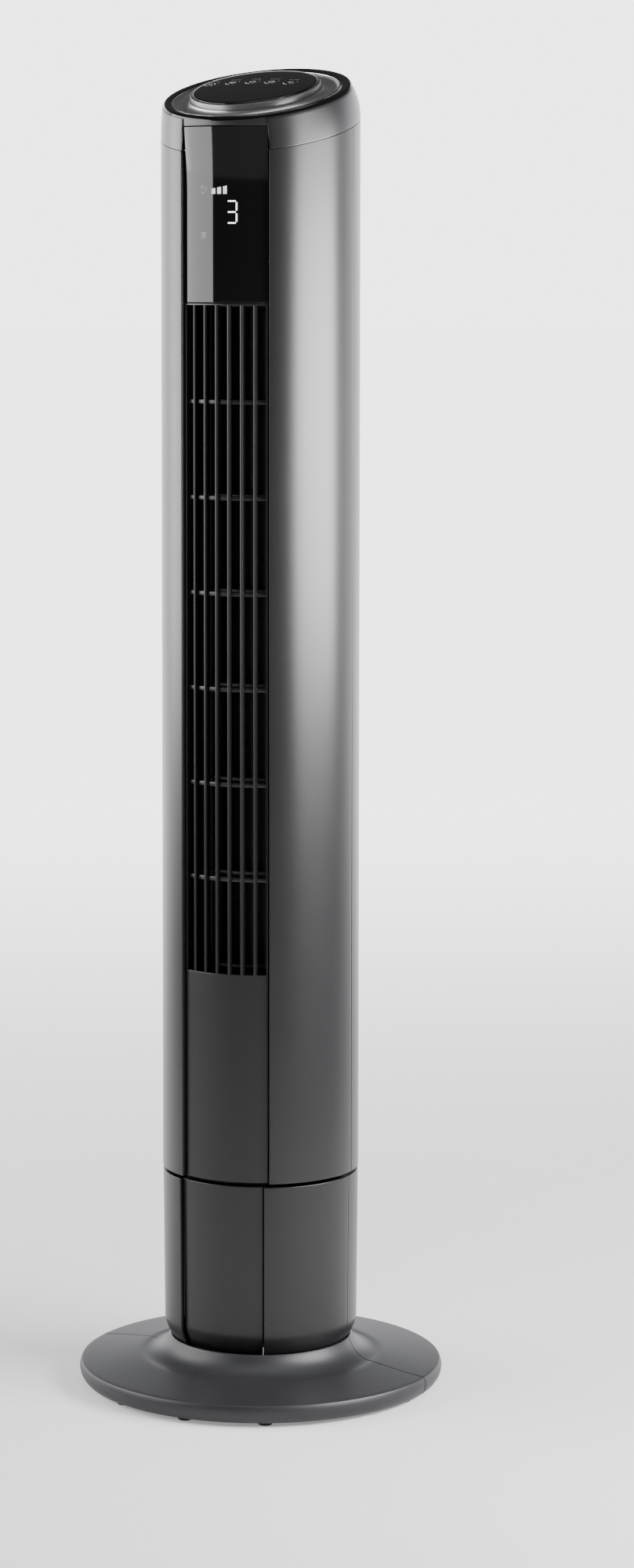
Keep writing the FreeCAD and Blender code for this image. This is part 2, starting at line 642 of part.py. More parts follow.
def upper_strip():
    """The strip's wall from the outlet up, before it is cut into the window and its end piece."""
    thick = STRIP_R - STRIP_IN
    wall = turned(closed_lines([
        (STRIP_R, WINDOW_Z0), (STRIP_R, FLARE_Z0), (FLARE_R, FLARE_Z1),
        (FLARE_R - thick, FLARE_Z1), (STRIP_IN, FLARE_Z0), (STRIP_IN, WINDOW_Z0),
    ]))
    return wall.common(sector(-STRIP_A, STRIP_A, 50, 90, WINDOW_Z0 - 1, FLARE_Z1 + 1))


def display_window():
    return upper_strip().common(cyl(90, WINDOW_Z0 - 1, WINDOW_Z1))


def strip_cap():
    """The end of the strip, between the window and the bezel."""
    piece = upper_strip().common(cyl(90, WINDOW_Z1 + 0.4, FLARE_Z1 + 1))
    return piece.common(below(FOOT_Z - 0.2, TOP_TILT))


# ---- head top: cap, bezel, dish, panel ----------------------------------------------------------------
def cap_section(s, inset, drop):
    """One level of the cap's wall, from the shell seam at s = 0 to the bezel's foot at s = 1."""
    pull = s * s
    top_b = BEZEL_FOOT_R * math.cos(math.radians(TOP_TILT))
    a = COLUMN_R - (COLUMN_R - BEZEL_FOOT_R) * pull - inset
    b = COLUMN_R - (COLUMN_R - top_b) * pull - inset
    y_mid = BEZEL_Y * pull
    z_mid = SEAM_Z + (FOOT_Z - SEAM_Z) * s - drop
    slope = math.tan(math.radians(SEAM_TILT + (TOP_TILT - SEAM_TILT) * s))
    points = []
    for k in range(24):
        t = 2 * math.pi * k / 24
        y = y_mid + b * math.cos(t)
        points.append(V(a * math.sin(t), y, z_mid + slope * y))
    curve = Part.BSplineCurve()
    curve.interpolate(points, True)
    return Part.Wire([curve.toShape()])


def cap_body(inset, drop):
    return Part.makeLoft([cap_section(k / 4, inset, drop) for k in range(5)], True, False)


def top_cap():
    outer = cap_body(0.0, 0.0)
    inner = cap_body(WALL, 2.6)
    shell = outer.cut(inner).cut(below(SEAM_Z, SEAM_TILT))
    opening = on_slope(cyl(DISH_R + 0.2, -40, 20))
    notch = sector(-STRIP_HALF, STRIP_HALF, STRIP_IN - 1.0, 90, 850, 960)
    return max(shell.cut([opening, notch]).Solids, key=lambda s: s.Volume)


def bezel_ring():
    """Black ring round the top. Its hole is further forward than its rim, so it is widest at the rear."""
    rim = turned([
        line((50.0, -2.35), (BEZEL_FOOT_R, -2.35)),
        arc((BEZEL_FOOT_R, -2.35), (66.1, -0.75), (BEZEL_R, 0.0)),
        line((BEZEL_R, 0.0), (50.0, -0.6)),
        line((50.0, -0.6), (50.0, -2.35)),
    ])
    hole = cyl(DISH_R + 0.9, -10, 10, 0, (DISH_Y - BEZEL_Y) / math.cos(math.radians(TOP_TILT)))
    return on_slope(rim.cut(hole), BEZEL_Y)


def trim_ring():
    return on_slope(turned(closed_lines([
        (DISH_R, -2.3), (DISH_R + 0.8, -2.3), (DISH_R + 0.8, -0.45), (DISH_R + 0.2, -0.35), (DISH_R, -0.8),
    ])))


PANEL_R = 45.4
PANEL_FOOT_R = 46.8


def control_dish():
    """The hollow satin ring between the bezel and the raised panel, clipped in under the cap."""
    dish = on_slope(turned([
        arc((DISH_R - 0.1, -1.2), (53.0, -4.6), (PANEL_FOOT_R, -0.4)),
        line((PANEL_FOOT_R, -0.4), (PANEL_FOOT_R - 3.0, -0.4)),
        line((PANEL_FOOT_R - 3.0, -0.4), (PANEL_FOOT_R - 3.0, -2.6)),
        line((PANEL_FOOT_R - 3.0, -2.6), (49.0, -6.2)),
        line((49.0, -6.2), (61.0, -6.2)),
        line((61.0, -6.2), (61.0, -5.1)),
        line((61.0, -5.1), (DISH_R - 0.1, -5.1)),
        line((DISH_R - 0.1, -5.1), (DISH_R - 0.1, -1.2)),
    ]))
    return dish.cut(sector(-STRIP_HALF - 1, STRIP_HALF + 1, STRIP_IN - 0.6, 90, 860, 960))


def panel_rim():
    """The raised panel's grey side wall."""
    return on_slope(turned(closed_lines([
        (PANEL_FOOT_R - 0.2, -0.3), (PANEL_R + 0.3, 3.6), (PANEL_R - 1.2, 3.9), (PANEL_R - 1.2, 1.6),
        (PANEL_R - 4.0, 1.6), (PANEL_R - 4.0, -0.3),
    ])))


def touch_panel():
    """The glossy plate over the touch controls. Nothing on it moves."""
    r = PANEL_R - 1.4
    plate = turned([
        line((0, 1.7), (r, 1.7)),
        line((r, 1.7), (r, 4.0)),
        arc((r, 4.0), (r - 0.4, 4.5), (r - 1.2, 4.65)),
        line((r - 1.2, 4.65), (0, 5.2)),
        line((0, 5.2), (0, 1.7)),
    ])
    stakes = []
    for y in (-STAKE_Y, STAKE_Y):
        stakes += [cyl(2.5, -4.35, 1.8, 0, y), cyl(1.2, -6.6, -4.3, 0, y), cyl(2.2, -6.9, -6.05, 0, y)]
    return on_slope(merged([plate] + stakes))


STAKE_Y = 33.0              # stakes under the panel hold the touch board
KEY_X = [-6.5 + 15.0 * k for k in range(-2, 3)]
KEY_Y = 8.0


def touch_board():
    board = cyl(42.0, -6.0, -4.4)
    chips = [box(x, x + 7, -20, -15, -7.6, -6.0) for x in (-16, -4, 8)]
    holes = [cyl(1.25, -7, -4, 0, y) for y in (-STAKE_Y, STAKE_Y)]
    return on_slope(merged([board] + chips).cut(holes))


def touch_springs():
    """Sprung contacts that carry the touch signal from the board to the plate's underside."""
    springs = []
    for x in KEY_X:
        coils = [ring(2.9, 2.0, -4.2 + 1.5 * k, -3.3 + 1.5 * k, x, KEY_Y) for k in range(4)]
        core = ring(2.7, 2.3, -4.35, 1.65, x, KEY_Y)
        springs.append(merged([core] + coils))
    return on_slope(Part.makeCompound(springs))


# ---- display, power board -----------------------------------------------------------------------------
BOARD_Y = -54.0


def display_board():
    board = box(-24.0, 24.0, BOARD_Y, BOARD_Y + 1.6, 800.0, 866.0)
    parts = [board] + [box(x, x + 6, BOARD_Y + 1.6, BOARD_Y + 3.4, 806, 812) for x in (-18, -6, 10)]
    return merged(parts)


def display_module():
    """The light block that forms the digit and the symbols, with a shade round each light."""
    block = box(-22.0, 22.0, BOARD_Y - 5.8, BOARD_Y - 0.1, 808.0, 858.0)
    cells = [box(2.0, 14.0, BOARD_Y - 7, BOARD_Y - 4, 822.0, 843.0)]
    cells += [box(x, x + 4.5, BOARD_Y - 7, BOARD_Y - 4, 846.0, 854.0) for x in (-20, -9, -3, 3)]
    cells += [box(-20.0, -14.0, BOARD_Y - 7, BOARD_Y - 4, 812.0, 818.0)]
    return block.cut(cells)


POWER_Y = 47.0


def power_board():
    y = POWER_Y
    board = box(-30.0, 30.0, y, y + 1.6, 208.0, 286.0)
    relay = box(-28.0, -16.0, y - 10, y, 256.0, 280.0)
    coil = box(2.0, 24.0, y - 3.2, y, 254.0, 280.0)
    drum = rod(5.0, V(18, y, 226), V(18, y - 4.6, 226))
    terminals = box(-26.0, 4.0, y - 3.8, y, 212.0, 222.0)
    return merged([board, relay, coil, drum, terminals])


# ---- air duct -----------------------------------------------------------------------------------------
DUCT_Z0, DUCT_Z1 = 300.4, 774.6


def curved_wall(points, thickness, z0, z1):
    """An upright wall of even thickness along a smooth line through plan points."""
    middle = Part.BSplineCurve()
    middle.interpolate([V(x, y, z0) for x, y in points])
    count = 2 * len(points)
    first, last = middle.FirstParameter, middle.LastParameter
    sides = ([], [])
    for k in range(count + 1):
        t = first + (last - first) * k / count
        p, d = middle.value(t), middle.tangent(t)[0]
        across = V(-d.y, d.x, 0) * (thickness / 2)
        sides[0].append(p + across)
        sides[1].append(p - across)
    curves = []
    for side in sides:
        c = Part.BSplineCurve()
        c.interpolate(side)
        curves.append(c.toShape())
    ends = [Part.makeLine(sides[0][0], sides[1][0]), Part.makeLine(sides[0][-1], sides[1][-1])]
    wire = Part.Wire(Part.__sortEdges__(curves + ends))
    return Part.Face(wire).extrude(V(0, 0, z1 - z0))


def duct_guide():
    """The scroll wall: close to the wheel at the back, opening out to the left side of the outlet."""
    points = []
    for k in range(9):
        share = k / 8
        p = at(-160 + 127 * share, WHEEL_R + 4.0 + 12.5 * share**1.3)
        points.append((p.x, p.y))
    return curved_wall(points, 2.0, DUCT_Z0, DUCT_Z1)


def duct_tongue():
    """The cut-off wall at the right side of the outlet."""
    places = ((32.5, 59.0), (38.0, 54.0), (46.0, 48.6), (54.0, 47.6), (61.0, 51.5), (66.0, 58.0), (69.0, 64.0))
    points = [(at(a, r).x, at(a, r).y) for a, r in places]
    return curved_wall(points, 2.0, DUCT_Z0, DUCT_Z1)


def duct_top_plate():
    z0, z1 = DUCT_Z1 + 0.05, DUCT_Z1 + 3.0
    plate = inner_disc(z0, z1)
    cup = cyl(13.0, z0, z1 + 9.0)
    seat = cyl(10.2, z0 + 2.2, z1 + 10)
    hole = cyl(6.0, z0 - 1, z1 + 10)
    return merged([plate, cup]).cut([seat, hole] + boss_room(z0 - 1, z1 + 1))


def duct_floor_plate():
    z0, z1 = DUCT_Z0 - 3.2, DUCT_Z0 - 0.05
    return inner_disc(z0, z1).cut([cyl(17.0, z0 - 1, z1 + 1)] + boss_room(z0 - 1, z1 + 1))


def bearing_rubber():
    z = DUCT_Z1 + 2.6
    return ring(10.0, 6.05, z, z + 8.0)


def bearing_bush():
    z = DUCT_Z1 + 2.6
    return ring(6.0, 3.04, z + 0.2, z + 7.8)


# ---- crossflow blower ---------------------------------------------------------------------------------
WHEEL_R = 43.0
WHEEL_IN = 33.5
BLADES = 30
WHEEL_Z0, WHEEL_Z1 = 305.5, 771.0
SHAFT_R = 3.0
MOTOR_SHAFT_R = 4.0


def blade(z0, z1):
    """One blade: a thin curved strip between the wheel's inner and outer radius."""
    t = 0.5
    lean = 16.0
    outer = at(lean, WHEEL_R - 0.3)
    inner = at(0, WHEEL_IN + 0.4)
    chord = outer - inner
    bow = V(-chord.y, chord.x, 0).normalize() * 2.0
    thick = V(-chord.y, chord.x, 0).normalize() * t
    mid = (outer + inner) * 0.5 + bow
    edges = [
        Part.Arc(inner, mid, outer).toShape(),
        Part.makeLine(outer, outer + thick),
        Part.Arc(outer + thick, mid + thick * 2, inner + thick).toShape(),
        Part.makeLine(inner + thick, inner),
    ]
    face = Part.Face(Part.Wire(edges))
    face.translate(V(0, 0, z0))
    return face.extrude(V(0, 0, z1 - z0))


def blower_wheel():
    """Seven identical moulded segments, welded end to end, and the top end disc."""
    pitch = (WHEEL_Z1 - WHEEL_Z0 - 2.0) / BAYS
    disc = ring(WHEEL_R, WHEEL_IN, 0, 1.8)
    one = blade(1.0, pitch)
    blades = []
    for k in range(BLADES):
        copy = one.copy()
        copy.rotate(V(0, 0, 0), V(0, 0, 1), 360.0 * k / BLADES)
        blades.append(copy)
    segment = disc.fuse(blades)
    floor_disc = cyl(WHEEL_R, 0, 1.8).cut(cyl(11.0, -1, 3)).fuse(blades)
    segments = []
    for k in range(BAYS):
        piece = (floor_disc if k == 0 else segment).copy()
        piece.translate(V(0, 0, WHEEL_Z0 + k * pitch))
        segments.append(piece)
    lid = cyl(WHEEL_R, WHEEL_Z1 - 2.0, WHEEL_Z1).fuse(cyl(8.0, WHEEL_Z1 - 12, WHEEL_Z1 - 2.0))
    segments.append(lid.cut(cyl(SHAFT_R, WHEEL_Z1 - 11, WHEEL_Z1 + 1)))
    return Part.makeCompound(segments)


def blower_pin():
    """The steel stub that turns in the top bush."""
    return cyl(SHAFT_R, WHEEL_Z1 - 11, DUCT_Z1 + 12.5)


def blower_hub():
    """The rubber-cushioned hub in the wheel's floor, which grips the motor shaft."""
    z = WHEEL_Z0
    body = merged([cyl(10.9, z, z + 1.8), cyl(8.5, z - 3.5, z + 16.0)])
    grub = rod(2.0, V(0, 0, z + 9), V(0, -12, z + 9))
    return body.cut([cyl(MOTOR_SHAFT_R, z - 5, z + 12.0), grub])


def hub_grub_screw():
    z = WHEEL_Z0 + 9
    body = rod(1.95, V(0, -MOTOR_SHAFT_R, z), V(0, -9.0, z))
    hexagon = [(1.0 * math.cos(math.radians(60 * k)), 1.0 * math.sin(math.radians(60 * k))) for k in range(6)]
    socket = prism(hexagon, 0, 3.0)
    socket.rotate(V(0, 0, 0), V(1, 0, 0), 90)
    socket.translate(V(0, -7.5, z))
    return body.cut(socket)


# ---- blower motor -------------------------------------------------------------------------------------
MOTOR_R = 38.0
CORE_Z0, CORE_Z1 = 234.0, 256.0
ROTOR_R = 20.0
BRACKET_Z0 = 203.0
BRACKET_AROUND = (-125.0, -55.0, 55.0, 125.0)


def motor_bracket():
    """The plate that carries the motor from below, standing on the base plate's four posts."""
    plate = cyl(58.0, BRACKET_Z0, BRACKET_Z0 + 2.0)
    holes = [cyl(2.0, BRACKET_Z0 - 1, BRACKET_Z0 + 3, *at(a, 52.0)[:2]) for a in BRACKET_AROUND]
    lug_holes = [cyl(4.2, BRACKET_Z0 - 1, BRACKET_Z0 + 3, *at(a, 30.0)[:2]) for a in (0, 90, 180, 270)]
    middle = cyl(14.0, BRACKET_Z0 - 1, BRACKET_Z0 + 3)
    edge = box(-70, 70, 44.0, 80, BRACKET_Z0 - 1, BRACKET_Z0 + 3)
    return plate.cut(holes + lug_holes + [middle, edge])


def bracket_screws():
    places = [at(a, 52.0, BRACKET_Z0 + 2.0) for a in BRACKET_AROUND]
    return Part.makeCompound([screw(p, V(0, 0, -1), 12.0, r=1.35) for p in places])


def motor_grommets():
    found = []
    for a in (0, 90, 180, 270):
        p = at(a, 30.0)
        waist = ring(4.1, 2.0, BRACKET_Z0 - 2.4, BRACKET_Z0 + 4.4, p.x, p.y)
        low = ring(6.5, 2.0, BRACKET_Z0 - 2.4, BRACKET_Z0 - 0.1, p.x, p.y)
        high = ring(6.5, 2.0, BRACKET_Z0 + 2.1, BRACKET_Z0 + 4.4, p.x, p.y)
        found.append(merged([waist, low, high]))
    return Part.makeCompound(found)


def motor_screws():
    """Long screws up through the grommets into the lower end shield."""
    places = [at(a, 30.0, BRACKET_Z0 - 2.5) for a in (0, 90, 180, 270)]
    return Part.makeCompound([screw(p, V(0, 0, 1), 14.0, r=1.6, head_r=4.0) for p in places])


def motor_shield(sign):
    """A cast end shield, drawn upwards from the core's middle and mirrored for the lower one."""
    half = (CORE_Z1 - CORE_Z0) / 2
    cup = turned([
        line((0, half + 19.0), (11.0, half + 19.0)),
        line((11.0, half + 19.0), (12.0, half + 14.0)),
        line((12.0, half + 14.0), (30.0, half + 14.0)),
        arc((30.0, half + 14.0), (35.7, half + 11.7), (MOTOR_R, half + 6.0)),
        line((MOTOR_R, half + 6.0), (MOTOR_R, half + 0.1)),
        line((MOTOR_R, half + 0.1), (MOTOR_R - 2.2, half + 0.1)),
        line((MOTOR_R - 2.2, half + 0.1), (MOTOR_R - 2.2, half + 6.0)),
        line((MOTOR_R - 2.2, half + 6.0), (29.0, half + 11.8)),
        line((29.0, half + 11.8), (12.0, half + 11.8)),
        line((12.0, half + 11.8), (12.0, half + 9.0)),
        line((12.0, half + 9.0), (0, half + 9.0)),
        line((0, half + 9.0), (0, half + 19.0)),
    ])
    vents = [cyl(3.0, half + 9, half + 20, *at(a + 22.5, 20.0)[:2]) for a in range(0, 360, 45)]
    seat = cyl(8.0, half + 8, half + 17.0)
    bore = cyl(MOTOR_SHAFT_R + 0.6, half + 8, half + 20)
    cup = cup.cut(vents + [seat, bore])
    if sign < 0:
        mid = (CORE_Z0 + CORE_Z1) / 2
        foot = mid - BRACKET_Z0 - 4.45
        lugs = [cyl(5.0, half + 11.8, foot, *at(a, 30.0)[:2]) for a in (0, 90, 180, 270)]
        pilots = [cyl(1.65, foot - 9, foot + 1, *at(a, 30.0)[:2]) for a in (0, 90, 180, 270)]
        cup = merged([cup] + lugs).cut(pilots)
        cup = cup.mirror(V(0, 0, 0), V(0, 0, 1))
    cup.translate(V(0, 0, (CORE_Z0 + CORE_Z1) / 2))
    return cup


def motor_bearings():
    mid = (CORE_Z0 + CORE_Z1) / 2
    half = (CORE_Z1 - CORE_Z0) / 2
    races = []
    for sign in (-1, 1):
        z0, z1 = sorted((mid + sign * (half + 9.2), mid + sign * (half + 16.8)))
        races.append(ring(7.95, MOTOR_SHAFT_R + 0.04, z0, z1))
    return Part.makeCompound(races)


def stator_core():
    """The laminated ring and its inward poles."""
    yoke = ring(MOTOR_R, 31.0, CORE_Z0, CORE_Z1)
    poles = []
    for k in range(16):
        pole = box(-1.6, 1.6, 22.0, 32.0, CORE_Z0, CORE_Z1)
        shoe = sector(-8.5, 8.5, ROTOR_R + 0.4, 22.6, CORE_Z0, CORE_Z1)
        shoe.rotate(V(0, 0, 0), V(0, 0, 1), 180)
        whole = pole.fuse(shoe)
        whole.rotate(V(0, 0, 0), V(0, 0, 1), 22.5 * k)
        poles.append(whole)
    return merged([yoke] + poles)


def stator_windings():
    """The copper end turns, above and below the core."""
    rings = []
    for z in (CORE_Z0 - 4.5, CORE_Z1 + 4.5):
        torus = Part.makeTorus(27.0, 4.2, V(0, 0, z))
        rings.append(torus)
    return Part.makeCompound(rings)


def motor_rotor():
    body = cyl(ROTOR_R - 0.1, CORE_Z0, CORE_Z1)
    ends = ring(17.0, 13.0, CORE_Z0 - 3, CORE_Z1 + 3)
    return merged([body, ends]).cut(cyl(MOTOR_SHAFT_R, CORE_Z0 - 9, CORE_Z1 + 9))


def motor_shaft():
    return cyl(MOTOR_SHAFT_R, CORE_Z0 - 17.0, WHEEL_Z0 + 11.5)


def run_capacitor():
    body = box(-17.0, 17.0, -55.0, -41.0, PLATE_Z1 + 0.1, PLATE_Z1 + 26.0)
    leads = [rod(0.8, V(x, -48, PLATE_Z1 + 26), V(x, -48, PLATE_Z1 + 34)) for x in (-8, 8)]
    return merged([body] + leads)


def written():
    """Every node of the stand, and every node of the head."""
    front = base_half()
    rear = front.copy()
    rear.rotate(V(0, 0, 0), V(0, 0, 1), 180)
    stand = {
        "base_front_half": front,
        "base_rear_half": rear,
        "base_feet": base_feet(),
        "base_screws": base_screws(),
        "stand_floor": stand_floor(),
        "stand_front_shell": stand_front_shell(),
        "stand_front_panel": stand_front_panel(),
        "stand_rear_shell": stand_rear_shell(),
        "stand_shell_screws": side_screws(STAND_BOSS_Z),
        "cord_gland": cord_gland(),
        "turntable_plate": turntable_plate(),
        "thrust_ring": thrust_ring(),
        "swivel_retainer": swivel_retainer(),
        "retainer_screws": retainer_screws(),
    }
    head = {
        "fixed_gear": fixed_gear(),
        "oscillation_pinion": oscillation_pinion(),
        "stepper_motor": stepper_motor(),
        "stepper_screws": stepper_screws(),
        "head_base_plate": head_base_plate(),
        "head_front_shell": head_front_shell(),
        "head_rear_shell": head_rear_shell(),
        "head_shell_screws": side_screws(HEAD_BOSS_Z),
        "handle_cup": handle_cup(),
        "intake_grille": intake_grille(),
        "outlet_grille": outlet_grille(),
        "display_window": display_window(),
        "strip_cap": strip_cap(),
        "top_cap": top_cap(),
        "bezel_ring": bezel_ring(),
        "trim_ring": trim_ring(),
        "control_dish": control_dish(),
        "panel_rim": panel_rim(),
        "touch_panel": touch_panel(),
        "touch_board": touch_board(),
        "touch_springs": touch_springs(),
        "display_board": display_board(),
        "display_module": display_module(),
        "power_board": power_board(),
        "duct_guide": duct_guide(),
        "duct_tongue": duct_tongue(),
        "duct_top_plate": duct_top_plate(),
        "duct_floor_plate": duct_floor_plate(),
        "bearing_rubber": bearing_rubber(),
        "bearing_bush": bearing_bush(),
        "blower_wheel": blower_wheel(),
        "blower_pin": blower_pin(),
        "blower_hub": blower_hub(),
        "hub_grub_screw": hub_grub_screw(),
        "motor_bracket": motor_bracket(),
        "bracket_screws": bracket_screws(),
        "motor_grommets": motor_grommets(),
        "motor_screws": motor_screws(),
        "motor_upper_shield": motor_shield(1),
        "motor_lower_shield": motor_shield(-1),
        "motor_bearings": motor_bearings(),
        "stator_core": stator_core(),
        "stator_windings": stator_windings(),
        "motor_rotor": motor_rotor(),
        "motor_shaft": motor_shaft(),
        "run_capacitor": run_capacitor(),
    }
    return stand, head


def main():
    os.makedirs("parts", exist_ok=True)
    stand, head = written()
    for shape in head.values():
        shape.rotate(V(0, 0, 0), V(0, 0, 1), HEAD_TURN)
    for name, shape in {**stand, **head}.items():
        solids = shape.Solids
        bad = [s for s in solids if not s.isValid() or s.Volume <= 0]
        print(f"{name}: {len(solids)} solid(s), {shape.Volume / 1000:.2f} cm3{' INVALID' if bad or not solids else ''}")
        shape.exportStep(f"parts/{name}.step")


main()
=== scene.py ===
"""The looks of a free-standing tower fan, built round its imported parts.

The fan is a round column on a flat base of two identical halves. The upper column, the head, swings on the
stand and holds a blower behind a slatted outlet, a smoked display window and a sloping touch panel.

Lengths are millimetres until a point is placed, which turns them into metres. Angles called "around" are
degrees from the front, -Y, positive towards +X. Head pieces are drawn facing -Y and turned by HEAD_TURN.
"""

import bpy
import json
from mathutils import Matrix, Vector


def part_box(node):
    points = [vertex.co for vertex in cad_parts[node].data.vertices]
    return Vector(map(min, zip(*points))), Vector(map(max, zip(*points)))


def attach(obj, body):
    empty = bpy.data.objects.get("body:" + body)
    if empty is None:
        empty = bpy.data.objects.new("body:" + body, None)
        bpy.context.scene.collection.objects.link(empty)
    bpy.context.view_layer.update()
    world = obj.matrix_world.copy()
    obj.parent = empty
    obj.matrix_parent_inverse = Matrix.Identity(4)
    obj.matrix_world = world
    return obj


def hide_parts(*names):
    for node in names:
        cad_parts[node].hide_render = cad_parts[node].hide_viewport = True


bl_info = {
    "name": "Tower Fan",
    "version": (1, 0, 0),
    "blender": (4, 5, 0),
    "location": "3D View > Sidebar > Tower Fan",
    "description": "Builds the casings, grilles, controls and finishes of a tower fan",
    "category": "Add Mesh",
}

import json
import math

import bmesh
import bpy
from bpy.props import FloatProperty, FloatVectorProperty, IntProperty, PointerProperty
from mathutils import Matrix, Vector
from mathutils.geometry import tessellate_polygon

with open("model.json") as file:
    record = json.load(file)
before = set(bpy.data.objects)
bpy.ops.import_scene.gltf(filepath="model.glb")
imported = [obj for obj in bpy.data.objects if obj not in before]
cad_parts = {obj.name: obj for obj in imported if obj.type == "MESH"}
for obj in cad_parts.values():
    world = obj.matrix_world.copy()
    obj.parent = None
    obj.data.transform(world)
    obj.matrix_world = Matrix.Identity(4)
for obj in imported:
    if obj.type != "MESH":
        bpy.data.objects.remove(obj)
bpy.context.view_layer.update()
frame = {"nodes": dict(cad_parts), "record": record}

MM = 0.001


def foot_of(node):
    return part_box(node)[0].z / MM


def top_of(node):
    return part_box(node)[1].z / MM


# ---- sizes shared by several pieces -------------------------------------------------------------------
HEIGHT = round(top_of("bezel_ring"), 1)
BASE_R = round(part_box("base_front_half")[1].x / MM, 1)
COLUMN_R = round(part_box("head_front_shell")[1].x / MM, 1)
HEAD_TURN = 3.0
WALL = 2.5
INNER_R = COLUMN_R - WALL
STRIP_HALF = 28.4           # half of the slot for the front strip, degrees around
STRIP_A = STRIP_HALF - 0.5
STRIP_R = COLUMN_R - 3.0
STRIP_IN = STRIP_R - 2.4
WEB_OUT = STRIP_IN - 0.2
WEB_IN = WEB_OUT - 2.0
HEAD_Z = round(foot_of("head_front_shell"), 1)
STAND_TOP = round(top_of("stand_front_shell"), 1)
STAND_FOOT = round(foot_of("stand_front_shell"), 1)
SEAM_Z, SEAM_TILT = 893.5, 15.3
TOP_TILT = 17.0
SLOPE = math.tan(math.radians(TOP_TILT))
TILT_SIN, TILT_COS = math.sin(math.radians(TOP_TILT)), math.cos(math.radians(TOP_TILT))
OUTLET_Z0, OUTLET_Z1 = 304.6, 770.2
WINDOW_Z0 = round(foot_of("display_window"), 1)
WINDOW_Z1 = round(top_of("display_window"), 1)
FLARE_Z0, FLARE_Z1 = 846.0, 902.0
BEZEL_R, BEZEL_FOOT_R, BEZEL_Y = 64.7, 66.7, -6.5
DISH_R, DISH_Y = 58.5, -8.5
PANEL_R, PANEL_FOOT_R = 45.4, 46.8
CREST_Z = HEIGHT - SLOPE * (BEZEL_Y + BEZEL_R * TILT_COS)
FOOT_Z = CREST_Z - 2.6
INTAKE_HALF, INTAKE_Z0, INTAKE_Z1 = 50.0, 310.0, 765.0
GRIP_X, GRIP_Y, GRIP_Z0, GRIP_Z1 = 42.0, 38.0, 800.0, 838.0
VENT_HEIGHTS, VENT_FROM, VENT_TO, VENT_H = (216.0, 237.5, 259.0), 113.0, 150.0, 3.0
BOSS_X, SCREW_SEAT_Y = 60.5, 18.0
HEAD_SCREWS = (185.0, 372.0, 540.0, 705.0, 860.0)
STAND_SCREWS = (68.0, 136.0)
GLAND_Z = 62.0
FOOT_RING_R, FOOT_H = 117.5, 3.2
FEET_AROUND = (-85.0, -28.0, 0.0, 28.0, 85.0)
BASE_SCREW_R, SHELF_Z = 50.0, 12.4
EDGE = 0.45                 # how far moulded edges are rounded
GAP = 0.15


# ---- outlines -----------------------------------------------------------------------------------------
def arc_around(r, a0, a1, step=1.5):
    """Points (length round the column, radius) of an arc about the column's axis."""
    count = max(2, math.ceil(abs(a1 - a0) / step))
    return [(math.radians(a0 + (a1 - a0) * k / count) * COLUMN_R, r) for k in range(count + 1)]


def bow(p, q, s, count=8):
    """Points of the circular arc from p through q to s, in two dimensions."""
    (ax, ay), (bx, by), (cx, cy) = p, q, s
    d = 2 * (ax * (by - cy) + bx * (cy - ay) + cx * (ay - by))
    pa, pb, pc = ax * ax + ay * ay, bx * bx + by * by, cx * cx + cy * cy
    mx = (pa * (by - cy) + pb * (cy - ay) + pc * (ay - by)) / d
    my = (pa * (cx - bx) + pb * (ax - cx) + pc * (bx - ax)) / d
    r = math.hypot(ax - mx, ay - my)
    first, mid, last = (math.atan2(y - my, x - mx) for x, y in (p, q, s))
    full = 2 * math.pi
    if (mid - first) % full > (last - first) % full:
        span = (last - first) % full - full
    else:
        span = (last - first) % full
    angles = [first + span * k / count for k in range(count + 1)]
    return [(mx + r * math.cos(a), my + r * math.sin(a)) for a in angles]


def even(p, q, count):
    """Points spaced evenly on a straight line."""
    return [(p[0] + (q[0] - p[0]) * k / count, p[1] + (q[1] - p[1]) * k / count) for k in range(count + 1)]


def softened(outline, size=EDGE, steps=3):
    """The outline with each sharp corner rounded."""
    rounded = []
    count = len(outline)
    for k in range(count):
        here = Vector(outline[k])
        back, on = Vector(outline[k - 1]) - here, Vector(outline[(k + 1) % count]) - here
        if back.angle(on) > math.radians(155):
            rounded.append(tuple(here))
            continue
        reach = min(size, 0.45 * back.length, 0.45 * on.length)
        start, end = here + back.normalized() * reach, here + on.normalized() * reach
        for j in range(steps + 1):
            t = j / steps
            rounded.append(tuple(start * (1 - t) ** 2 + here * (2 * t * (1 - t)) + end * t * t))
    return rounded


def inset(outline, depth):
    """The outline moved inwards by depth."""
    count = len(outline)
    area = sum(outline[k - 1][0] * outline[k][1] - outline[k][0] * outline[k - 1][1] for k in range(count))
    side = 1 if area > 0 else -1
    moved = []
    for k in range(count):
        here = Vector(outline[k])
        before = (here - Vector(outline[k - 1])).normalized()
        after = (Vector(outline[(k + 1) % count]) - here).normalized()
        along = (before + after).normalized()
        inward = Vector((-along.y, along.x)) * side
        moved.append(tuple(here + inward * depth / max(0.5, abs(before.dot(along)))))
    return moved


